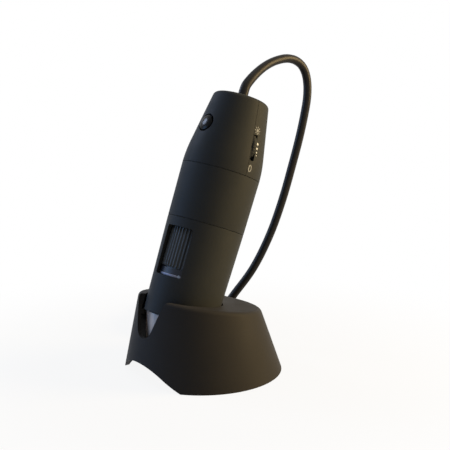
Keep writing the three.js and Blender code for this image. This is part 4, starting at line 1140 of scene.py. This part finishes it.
# %% Focus ring
RIB_COUNT = 54
RIB_DEPTH = 0.7
RIB_STEPS = 12
RIB_CHAMFER = 0.5
RIB_STEEPNESS = 1.5
RIB_CREST = 0.3
RING_WALL = 1.5
SCALE_HEIGHT = 4
SCALE_THICKNESS = 0.8
GRIP_SMOOTH_BELOW = 50
ring_radius = ring_bore - GAP
ring_inner = ring_radius - RIB_DEPTH - RING_WALL
ring_bottom = ring_shelf + GAP
ring_top = LOWER_LENGTH - MID_NECK_LENGTH - GAP
scale_seat = ring_radius - SCALE_THICKNESS - GAP
seat_top = ring_bottom + SCALE_HEIGHT + GAP


def grooved_ring(name, rows, count, groove, material, place):
    """A ring of (radius, height, share) rows, where the share says how much of the groove a row takes."""
    verts = []
    for radius, height, share in rows:
        for i in range(count):
            angle = 2 * math.pi * i / count
            reach = radius - groove(i / count) * share
            verts.append((reach * math.cos(angle), reach * math.sin(angle), height))
    ring = new_piece(name, verts, ring_faces(len(rows), count, True), place)
    return finish_piece(ring, material, GRIP_SMOOTH_BELOW)


def rib_groove(turn):
    """From 0 on a crest to the ribs' full depth in a foot."""
    wave = (1 - math.cos(2 * math.pi * turn * RIB_COUNT)) / 2
    return RIB_DEPTH * min(max(wave * RIB_STEEPNESS - RIB_CREST, 0), 1)


focus_grip = grooved_ring("focus_grip", [
    (ring_inner, ring_bottom, 0),
    (scale_seat, ring_bottom, 0),
    (scale_seat, seat_top, 0),
    (ring_radius - RIB_DEPTH, seat_top, 0),
    (ring_radius, seat_top + RIB_CHAMFER, 1),
    (ring_radius, ring_top - RIB_CHAMFER, 1),
    (ring_radius - RIB_DEPTH, ring_top, 0),
    (ring_inner, ring_top, 0),
], RIB_COUNT * RIB_STEPS, rib_groove, satin_abs, BARREL)
print("focus ring has", RIB_COUNT, "ribs")

# %% [markdown]
# The scale band is a glossy dark hoop with a bright bead along its lower edge. They are two pieces,
# because they are two finishes: the bead is let into the band's edge, and its outer side is rounded.

# %% Scale band and bead
SCALE_BEVEL = 0.3
BEAD_HEIGHT = 1.2
BEAD_DEPTH = 0.45
BEAD_ROUND_BELOW, BEAD_ROUND_ABOVE = 0.6, 0.8


def build_scale_band():
    bottom = ring_bottom + GAP
    top = seat_top - GAP
    bead_seat = ring_radius - BEAD_DEPTH
    bead_top = bottom + BEAD_HEIGHT
    band = spin("scale_band", [
        (scale_seat + GAP, bottom),
        (bead_seat, bottom),
        (bead_seat, bead_top),
        (ring_radius - SCALE_BEVEL / 2, bead_top),
        (ring_radius - SCALE_BEVEL, top, SCALE_BEVEL / 2),
        (scale_seat + GAP, top),
    ])
    bead = spin("scale_bead", [
        (bead_seat, bottom),
        (ring_radius, bottom, BEAD_DEPTH * BEAD_ROUND_BELOW),
        (ring_radius, bead_top, BEAD_DEPTH * BEAD_ROUND_ABOVE),
        (bead_seat, bead_top),
    ])
    return finish_piece(band, gloss_band), finish_piece(bead, satin_silver)


scale_band, scale_bead = build_scale_band()
print("scale band and bead made")

# %% [markdown]
# The nose is a thin cone of frosted polycarbonate that spreads the light of the lamps. A spigot at its
# top plugs into the lower housing, and a lip turns inwards at its tip, round the lens opening.

# %% Nose
NOSE_LENGTH = 14
NOSE_TAPER = math.radians(14)
NOSE_WALL = 1.2
NOSE_ROUND = 0.8
NOSE_SPIGOT = 4


def build_nose():
    top = LOWER_END_RADIUS - NOSE_TOP_INSET
    lip = top - NOSE_LENGTH * math.tan(NOSE_TAPER)
    spigot = lamp_bore - GAP
    nose = spin("lens_nose", [
        (spigot - NOSE_WALL, NOSE_SPIGOT),
        (spigot, NOSE_SPIGOT, SEAM_EDGE),
        (spigot, -GAP),
        (top, -GAP, SEAM_EDGE),
        (lip, -NOSE_LENGTH, NOSE_ROUND),
        (lip - 2 * NOSE_WALL, -NOSE_LENGTH, NOSE_ROUND / 2),
        (lip - 2 * NOSE_WALL, NOSE_WALL - NOSE_LENGTH),
        (lip - NOSE_WALL, NOSE_WALL - NOSE_LENGTH),
        (spigot - NOSE_WALL, -GAP - NOSE_WALL),
    ])
    return finish_piece(nose, frosted_nose)


nose = build_nose()
print("nose has", len(nose.data.polygons), "faces")

# %% [markdown]
# The button is a polished dome in a round hole, and its gloss is what the eye finds first. The dome is
# almost flat in its middle and falls away at its edge, so its height follows a power of the radius above
# two. The matt flange below it keeps it from falling out, and is drawn small enough to stay under the
# curved skin. Its stem reaches as deep as the mechanical model's button.

# %% Button
BUTTON_CAP_RADIUS = 3.85
BUTTON_DOME_RADIUS = 3.5
BUTTON_FLANGE = 0.8
BUTTON_STEM_RADIUS = 1.5
BUTTON_PEG = 0.3
DOME_POWER = 2.6
DOME_STEPS = 10


def build_button():
    seat = button_seat
    to_button = BUTTON.inverted()
    tip = min((to_button @ vertex.co).z for vertex in frame["nodes"]["button_cap"].data.vertices)
    shares = [step / DOME_STEPS for step in range(DOME_STEPS + 1)]
    cap = spin("button_dome", [
        *((BUTTON_DOME_RADIUS * share, BUTTON_PROUD * (1 - share ** DOME_POWER)) for share in shares),
        (BUTTON_CAP_RADIUS, seat),
        (BUTTON_CAP_RADIUS, seat - BUTTON_PEG),
        (0, seat - BUTTON_PEG),
    ], place=BUTTON)
    flange = spin("button_flange", [
        (0, seat),
        (BUTTON_FLANGE_RADIUS, seat),
        (BUTTON_FLANGE_RADIUS, seat - BUTTON_FLANGE),
        (BUTTON_STEM_RADIUS, seat - BUTTON_FLANGE),
        (BUTTON_STEM_RADIUS, tip),
        (0, tip),
    ], place=BUTTON)
    return finish_piece(cap, polished_abs), finish_piece(flange, inner_abs)


button, button_flange = build_button()
print("button and its flange made")

# %% [markdown]
# The thumbwheel has fine notches for the thumb. Its rim is drawn a little lower than the mechanical
# model's, to stand out of its slot by only half a millimetre.

# %% Thumbwheel
DIAL_NOTCHES = 36
DIAL_NOTCH_DEPTH = 0.13
DIAL_NOTCH_STEPS = 10
DIAL_RIM_RADIUS = 7.95
DIAL_HUB_RADIUS = 1.8
DIAL_EDGE = 0.18
dial_back = DIAL_FRONT_Y + DIAL_THICKNESS


def dial_groove(turn):
    return DIAL_NOTCH_DEPTH * max(math.cos(2 * math.pi * turn * DIAL_NOTCHES), 0)


thumbwheel = grooved_ring("thumbwheel", [
    (DIAL_HUB_RADIUS, DIAL_FRONT_Y, 0),
    (DIAL_RIM_RADIUS - DIAL_EDGE, DIAL_FRONT_Y, 1),
    (DIAL_RIM_RADIUS, DIAL_FRONT_Y + DIAL_EDGE, 1),
    (DIAL_RIM_RADIUS, dial_back - DIAL_EDGE, 1),
    (DIAL_RIM_RADIUS - DIAL_EDGE, dial_back, 1),
    (DIAL_HUB_RADIUS, dial_back, 0),
], DIAL_NOTCHES * DIAL_NOTCH_STEPS, dial_groove, soft_touch, DIAL)
print("thumbwheel has", DIAL_NOTCHES, "notches")

# %% [markdown]
# The cable enters through a grommet of the cable's own PVC. It is snapped into the crown's hole: one
# flange lies on the crown, and the other holds it from inside.

# %% Grommet
GROMMET_FLANGE_RADIUS = 4.1
GROMMET_SEGMENTS = 64


def build_grommet():
    above = CROWN_HEIGHT + GAP
    under = CROWN_HEIGHT - SHELL_WALL - GAP
    grommet = spin("cable_entry", [
        (0, above + GROMMET_FLANGE),
        (GROMMET_FLANGE_RADIUS, above + GROMMET_FLANGE, GROMMET_FLANGE / 2),
        (GROMMET_FLANGE_RADIUS, above),
        (GROMMET_HOLE_RADIUS - GAP, above),
        (GROMMET_HOLE_RADIUS - GAP, under),
        (GROMMET_FLANGE_RADIUS, under),
        (GROMMET_FLANGE_RADIUS, under - GROMMET_FLANGE, GROMMET_FLANGE / 3),
        (0, under - GROMMET_FLANGE),
    ], segments=GROMMET_SEGMENTS)
    return finish_piece(grommet, cable_pvc)


grommet = build_grommet()
print("grommet has", len(grommet.data.polygons), "faces")

# %% [markdown]
# The brightness scale is pad-printed beside the thumbwheel: a small lamp sign at the bright end, a row of
# dots that shrink, and a plain zero at the dark end. A print is a film a few hundredths of a millimetre
# thick, so each mark is a thin plate laid on the curved housing: every point keeps its height up the
# barrel and goes round it by its width.

# %% Signs
PRINT_BELOW = 0.02
PRINT_ABOVE = 0.035
LAMP_DISC_POINTS = 32
ZERO_STEPS = 16


def print_marks(name, shapes, place, material, outside=outside_radius):
    """Lays flat shapes of (round, up) points on a turned surface, centred at (degrees, height)."""
    degrees, height = place
    verts = []
    faces = []
    for shape in shapes:
        count = len(shape)
        first = len(verts)
        for lift in (-PRINT_BELOW, PRINT_ABOVE):
            for around, up in shape:
                z = height + up
                radius = outside(z) + lift
                angle = math.radians(degrees) + around / outside(z)
                verts.append((radius * math.cos(angle), radius * math.sin(angle), z))
        faces.append([first + i for i in range(count)])
        faces.append([first + count + i for i in reversed(range(count))])
        for i in range(count):
            j = (i + 1) % count
            faces.append((first + j, first + i, first + count + i, first + count + j))
    return finish_piece(new_piece(name, verts, faces, BARREL), material)


def lamp_sign(radius, ray_start, ray_end, ray_width, rays):
    shapes = [circle(radius, LAMP_DISC_POINTS)]
    half = ray_width / 2
    corners = [(ray_start, -half), (ray_end, -half), (ray_end, half), (ray_start, half)]
    for i in range(rays):
        turn = Matrix.Rotation(2 * math.pi * i / rays, 2)
        shapes.append([tuple(turn @ Vector(corner)) for corner in corners])
    return shapes


def zero_sign(width, height, stroke):
    """A plain zero, as two half rings, because a plate can't hold a hole."""
    shapes = []
    for start in (0, math.pi):
        angles = [start + math.pi * step / ZERO_STEPS for step in range(ZERO_STEPS + 1)]
        outer = [(width / 2 * math.cos(a), height / 2 * math.sin(a)) for a in angles]
        inner = [((width / 2 - stroke) * math.cos(a), (height / 2 - stroke) * math.sin(a)) for a in angles]
        shapes.append(outer + inner[::-1])
    return shapes


print("a zero is drawn as", len(zero_sign(1, 1, 0.1)), "half rings")

# %% [markdown]
# The marks' places are given in degrees round the barrel and millimetres up it. A dot on the focus ring
# is its index, and it lies on the ring's own radius, not on the housing's.

# %% Printed marks
DOT_POINTS = 24
LAMP_PLACE = (7.7, 88.1)
ZERO_PLACE = (4.5, 71)
INDEX_PLACE = (-56.5, 17.8)
INDEX_RADIUS = 0.6
# Degrees, height and radius of each dot
dots = [(12.4, 82.4, 0.6), (12.3, 80.4, 0.5), (12.2, 78.7, 0.36), (12.6, 77.3, 0.26)]

lamp_shapes = lamp_sign(radius=0.7, ray_start=1.0, ray_end=1.75, ray_width=0.4, rays=8)
printed = [print_marks("lamp_mark", lamp_shapes, LAMP_PLACE, thin_ink)]
for i, (degrees, height, radius) in enumerate(dots):
    dot = circle(radius, DOT_POINTS)
    printed.append(print_marks(f"dot_mark_{i + 1}", [dot], (degrees, height), marking_ink))
zero_shapes = zero_sign(width=2, height=3.2, stroke=0.5)
printed.append(print_marks("zero_mark", zero_shapes, ZERO_PLACE, thin_ink))
index_dot = print_marks("index_dot", [circle(INDEX_RADIUS, DOT_POINTS)], INDEX_PLACE, marking_ink,
                        outside=lambda height: ring_radius)
print(len(printed), "printed marks and the index dot")

# %% [markdown]
# What lies behind the object is made as carefully as the rest, because the part can be turned round. The
# tie holds the coil: a flat loop of tape round the cable's turns, drawn as a rounded frame.

# %% Cable tie
TIE_WIDTH = 5
TIE_ROUND = 0.9
PARK = CRADLE @ PARK_TURN


def build_tie():
    half = CABLE_DIAMETER / 2
    inner = math.sqrt((coil_inner_radius - half) ** 2 - (TIE_WIDTH / 2) ** 2) - GAP
    outer = COIL_OUTER_RADIUS + half + GAP
    top = coil_top + half + GAP
    width, height = outer - inner, top - TIE_THICKNESS
    across, middle = (outer + inner) / 2, (top + TIE_THICKNESS) / 2
    place = PARK @ Matrix.Translation((COIL_ACROSS, COIL_BEHIND, 0))
    place = place @ Matrix.Rotation(math.pi / 2, 4, "Z") @ Matrix.Rotation(math.pi / 2, 4, "X")
    thick = 2 * TIE_THICKNESS
    outside = rectangle(width + thick, height + thick, TIE_ROUND, across, middle)
    inside = rectangle(width, height, TIE_ROUND - TIE_THICKNESS, across, middle)
    band = extrude("cable_band", outside, -TIE_WIDTH / 2, TIE_WIDTH / 2, place)
    carve(band, extrude("room", inside, -TIE_WIDTH, TIE_WIDTH, place))
    return finish_piece(band, tape)


cable_band = build_tie()
print("cable tie has", len(cable_band.data.polygons), "faces")

# %% [markdown]
# The plug is made along its own axis, from the cable to the tip. Its strain relief is a cone with three
# grooves round it, so that it bends evenly. The grip is moulded over the plug in the same PVC, with five
# grooves across each broad side for the fingers.

# %% Strain relief and grip
PLUG_WIDTH = 15.6
PLUG_LENGTH = 17
PLUG_ROUND = 2.4
PLUG_EDGE = 0.9
PLUG_EDGE_STEPS = 4
PLUG_EDGE_ABOVE = 60
RELIEF_LENGTH = 6.5
RELIEF_RADIUS = 3.5
RELIEF_PARTS = 4
RELIEF_EDGE = 0.1
RELIEF_SEGMENTS = 48
RELIEF_STEPS = 3
GROOVES = 5
GROOVE_START = 5
GROOVE_PITCH = 1.6
GROOVE_WIDTH = 0.8
GROOVE_LENGTH = 9
GROOVE_THICKNESS = 0.7
GROOVE_ROUND = 0.3
PLUG = PARK @ Matrix.Translation((PLUG_START + GAP, PLUG_BEHIND, PLUG_HEIGHT / 2))
PLUG = PLUG @ Matrix.Rotation(math.pi / 2, 4, "Y")
grip_start = RELIEF_LENGTH + GAP
grip_end = grip_start + PLUG_LENGTH


def build_relief():
    cable_radius = CABLE_DIAMETER / 2
    thin = cable_radius + GAP
    corners = [(0, 0), (thin, 0, 2 * RELIEF_EDGE)]
    for i in range(1, RELIEF_PARTS):
        height = RELIEF_LENGTH * i / RELIEF_PARTS
        radius = thin + (RELIEF_RADIUS - thin) * height / RELIEF_LENGTH
        corners += [
            (radius, height - GAP, RELIEF_EDGE),
            (cable_radius, height - GAP, RELIEF_EDGE),
            (cable_radius, height + GAP, RELIEF_EDGE),
            (radius, height + GAP, RELIEF_EDGE),
        ]
    corners += [(RELIEF_RADIUS, RELIEF_LENGTH, 2 * RELIEF_EDGE), (0, RELIEF_LENGTH)]
    return finish_piece(spin("plug_strain_relief", corners, PLUG, RELIEF_SEGMENTS, RELIEF_STEPS), cable_pvc)


def build_grip():
    grip = extrude("plug_grip", rectangle(PLUG_HEIGHT, PLUG_WIDTH, PLUG_ROUND), grip_start, grip_end, PLUG)
    soften(grip, PLUG_EDGE, PLUG_EDGE_STEPS, PLUG_EDGE_ABOVE)
    for i in range(GROOVES):
        low = grip_start + GROOVE_START + i * GROOVE_PITCH
        for side in (-1, 1):
            outline = rectangle(GROOVE_THICKNESS, GROOVE_LENGTH, GROOVE_ROUND, side * PLUG_HEIGHT / 2, 0)
            carve(grip, extrude("groove", outline, low, low + GROOVE_WIDTH, PLUG))
    return finish_piece(grip, cable_pvc)


plug_relief = build_relief()
plug_grip = build_grip()
print("plug grip has", len(plug_grip.data.polygons), "faces")

# %% [markdown]
# The shell is folded from tinned steel sheet 0.4 mm thick. It is a flat tube, open at its tip, with the
# two square holes on each side that a socket's springs snap into. The contact tongue inside is the
# mechanical model's own.

# %% Plug shell
PLUG_SHELL_WIDTH = 12
PLUG_SHELL_HEIGHT = 4.5
PLUG_SHELL_LENGTH = 11.8
SHEET_THICKNESS = 0.4
SHEET_EDGE = 0.1
SPRING_HOLE = 2.4


def build_plug_shell():
    start = grip_end + GAP
    end = start + PLUG_SHELL_LENGTH
    sheet = SHEET_THICKNESS
    outside = rectangle(PLUG_SHELL_HEIGHT, PLUG_SHELL_WIDTH, sheet)
    inside = rectangle(PLUG_SHELL_HEIGHT - 2 * sheet, PLUG_SHELL_WIDTH - 2 * sheet, SHEET_EDGE)
    shell = extrude("plug_steel_shell", outside, start, end, PLUG)
    carve(shell, extrude("room", inside, start + sheet, end + OVERRUN, PLUG))
    for side in (-1, 1):
        hole = rectangle(2 * PLUG_SHELL_HEIGHT, SPRING_HOLE, SHEET_EDGE, 0, side * PLUG_SHELL_WIDTH / 4)
        carve(shell, extrude("hole", hole, end - 3 * SPRING_HOLE, end - 2 * SPRING_HOLE, PLUG))
    return finish_piece(shell, tinned_steel)


plug_shell = build_plug_shell()
print("plug shell has", len(plug_shell.data.polygons), "faces")

# %% [markdown]
# The pieces inside keep their shapes from the mechanical model, because they are plain blocks, discs and
# pins in the real thing too. They only get their finishes, picked by the name of their material slot.

# %% Finishes for the pieces inside
finish_of_slot = {
    "soft_black": soft_touch,
    "cradle_black": cradle_lacquer,
    "gloss_black": polished_abs,
    "ring_black": satin_abs,
    "scale_silver": satin_silver,
    "nose_grey": frosted_nose,
    "inner_black": inner_abs,
    "lens_glass": crown_glass,
    "board_green": board_laminate,
    "led_clear": lamp_epoxy,
    "chip_black": chip_epoxy,
    "steel": tinned_steel,
    "ribbon_amber": ribbon_film,
    "white_plastic": white_nylon,
    "switch_cream": cream_acetal,
    "cable_black": cable_pvc,
    "tie_black": tape,
}
for entry in frame["record"]["subparts"]:
    for slot in frame["nodes"][entry["node"]].material_slots:
        slot.material = finish_of_slot[entry["material_slot"]]

# %% [markdown]
# Each piece now says which body of the mechanical model it moves with, and which node it stands for,
# whose own shape is hidden. The marks and the bead stand for no node: they only ride along.

# %% Tie the pieces to the bodies
riders = [
    (cradle, "cradle", "cradle_black", "cradle_shell"),
    (cable_band, "cradle", "tie_black", "cable_tie"),
    (plug_relief, "cradle", "cable_black", "plug_relief"),
    (plug_grip, "cradle", "cable_black", "plug_overmould"),
    (plug_shell, "cradle", "steel", "plug_shell"),
    (lower_housing, "microscope", "soft_black", "lower_barrel"),
    (mid_housing, "microscope", "soft_black", "mid_barrel"),
    (upper_back, "microscope", "soft_black", "upper_back_shell"),
    (upper_front, "microscope", "soft_black", "upper_front_shell"),
    (nose, "microscope", "nose_grey", "nose_cap"),
    (grommet, "microscope", "cable_black", "cable_grommet"),
    (focus_grip, "focus_ring", "ring_black", "focus_ring"),
    (scale_band, "focus_ring", "scale_silver", "scale_ring"),
    (button, "snap_button", "gloss_black", "button_cap"),
    (button_flange, "snap_button", "inner_black", "button_cap"),
    (thumbwheel, "brightness_dial", "soft_black", "brightness_dial"),
]
for piece, body, slot_name, node_name in riders:
    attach(piece, body)
    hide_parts(node_name)
for mark in printed:
    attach(mark, "microscope")
for detail, slot_name in ((scale_bead, "scale_silver"), (index_dot, "white_plastic")):
    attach(detail, "focus_ring")
print(len(riders), "pieces stand for nodes")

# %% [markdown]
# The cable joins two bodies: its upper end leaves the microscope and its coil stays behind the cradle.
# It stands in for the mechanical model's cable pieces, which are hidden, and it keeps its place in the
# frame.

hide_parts("cable_free_run", "cable_coil", "cable_tail")
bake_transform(cable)

# %% [markdown]
# The set is a white sweep. The floor is a pale surface that still takes the object's soft shadow, and
# what the camera, a mirror or glass sees of it is brought up to white, a little less so close to the
# object. The world does the same: it looks white, but lights the object only weakly.

# %% Floor and world
FLOOR_HALF = 6.0
FLOOR_WHITE_SHARE = 0.9
SHADOW_NEAR = 0.06
SHADOW_FAR = 0.2
WORLD_FILL = 0.15
WHITE = (1, 1, 1, 1)


def background_share(tree):
    """1 for rays that show the background: from the camera, off gloss and through glass."""
    rays = add(tree, "ShaderNodeLightPath")
    first = add(tree, "ShaderNodeMath", {
        0: rays.outputs["Is Camera Ray"], 1: rays.outputs["Is Glossy Ray"],
    }, operation="ADD", use_clamp=True)
    both = add(tree, "ShaderNodeMath", {0: first.outputs[0], 1: rays.outputs["Is Transmission Ray"]},
               operation="ADD", use_clamp=True)
    return both.outputs[0]


def white_paper(name, colour):
    made, tree, place = start_material(name)
    paper = add(tree, "ShaderNodeBsdfDiffuse", {"Color": linear(colour)})
    white = add(tree, "ShaderNodeEmission", {"Color": WHITE, "Strength": 1.0})
    distance = add(tree, "ShaderNodeVectorMath", {0: place}, operation="LENGTH")
    whiteness = add(tree, "ShaderNodeMapRange", {
        "Value": distance.outputs["Value"], "From Min": SHADOW_NEAR, "From Max": SHADOW_FAR,
        "To Min": FLOOR_WHITE_SHARE, "To Max": 1.0,
    }, interpolation_type="SMOOTHSTEP")
    share = add(tree, "ShaderNodeMath", {0: background_share(tree), 1: whiteness.outputs["Result"]},
                operation="MULTIPLY")
    mix = add(tree, "ShaderNodeMixShader", {0: share.outputs[0], 1: paper.outputs[0], 2: white.outputs[0]})
    add(tree, "ShaderNodeOutputMaterial", {"Surface": mix.outputs[0]})
    return made


def build_world():
    world = bpy.data.worlds.new("white_studio")
    world.use_nodes = True
    tree = world.node_tree
    tree.nodes.clear()
    strength = add(tree, "ShaderNodeMapRange", {
        "Value": background_share(tree), "To Min": WORLD_FILL, "To Max": 1.0,
    })
    background = add(tree, "ShaderNodeBackground", {"Color": WHITE, "Strength": strength.outputs["Result"]})
    add(tree, "ShaderNodeOutputWorld", {"Surface": background.outputs[0]})
    bpy.context.scene.world = world


floor_corners = [(-FLOOR_HALF, -FLOOR_HALF, 0), (FLOOR_HALF, -FLOOR_HALF, 0)]
floor_corners += [(FLOOR_HALF, FLOOR_HALF, 0), (-FLOOR_HALF, FLOOR_HALF, 0)]
floor = put_mesh("floor", floor_corners, [(0, 1, 2, 3)])
floor.data.materials.append(white_paper("white_paper_sweep", "#c8c8c8"))
build_world()
print("floor", 2 * FLOOR_HALF, "m wide, and the world, are white")

# %% [markdown]
# Two soft lamps give the object its shape: a cool weak one on the left, and a warm stronger one on the
# right, behind, which draws the long light edge on the black barrel. A weak one above lights the crown,
# and a small one on the left is the glint in the button. All of them face the middle of the microscope.

# %% Lamps
# Name, place and size in metres, power in watts, colour
lamps = [
    ("warm_right_lamp", (0.33, 0.43, 0.25), (0.24, 0.36), 7.2, "#ffdd9e"),
    ("cool_left_lamp", (-0.45, -0.58, 0.14), (0.35, 0.5), 3.4, "#86bcff"),
    ("top_lamp", (0.1, -0.1, 0.9), (0.5, 0.5), 1.2, "#ffffff"),
    ("small_lamp", (-0.485, -0.2, 0.4), (0.13, 0.13), 1.2, "#cbdcff"),
]
for name, place, size, power, colour in lamps:
    lamp = bpy.data.objects.new(name, bpy.data.lights.new(name, "AREA"))
    lamp.data.shape = "RECTANGLE"
    lamp.data.size, lamp.data.size_y = size
    lamp.data.energy = power
    lamp.data.color = linear(colour)[:3]
    lamp.location = place
    towards = CRADLE @ CAMERA_TARGET - Vector(place)
    lamp.rotation_euler = towards.to_track_quat("-Z", "Y").to_euler()
    bpy.context.scene.collection.objects.link(lamp)
bpy.context.scene.view_settings.view_transform = "Standard"
print(len(lamps), "lamps ready")
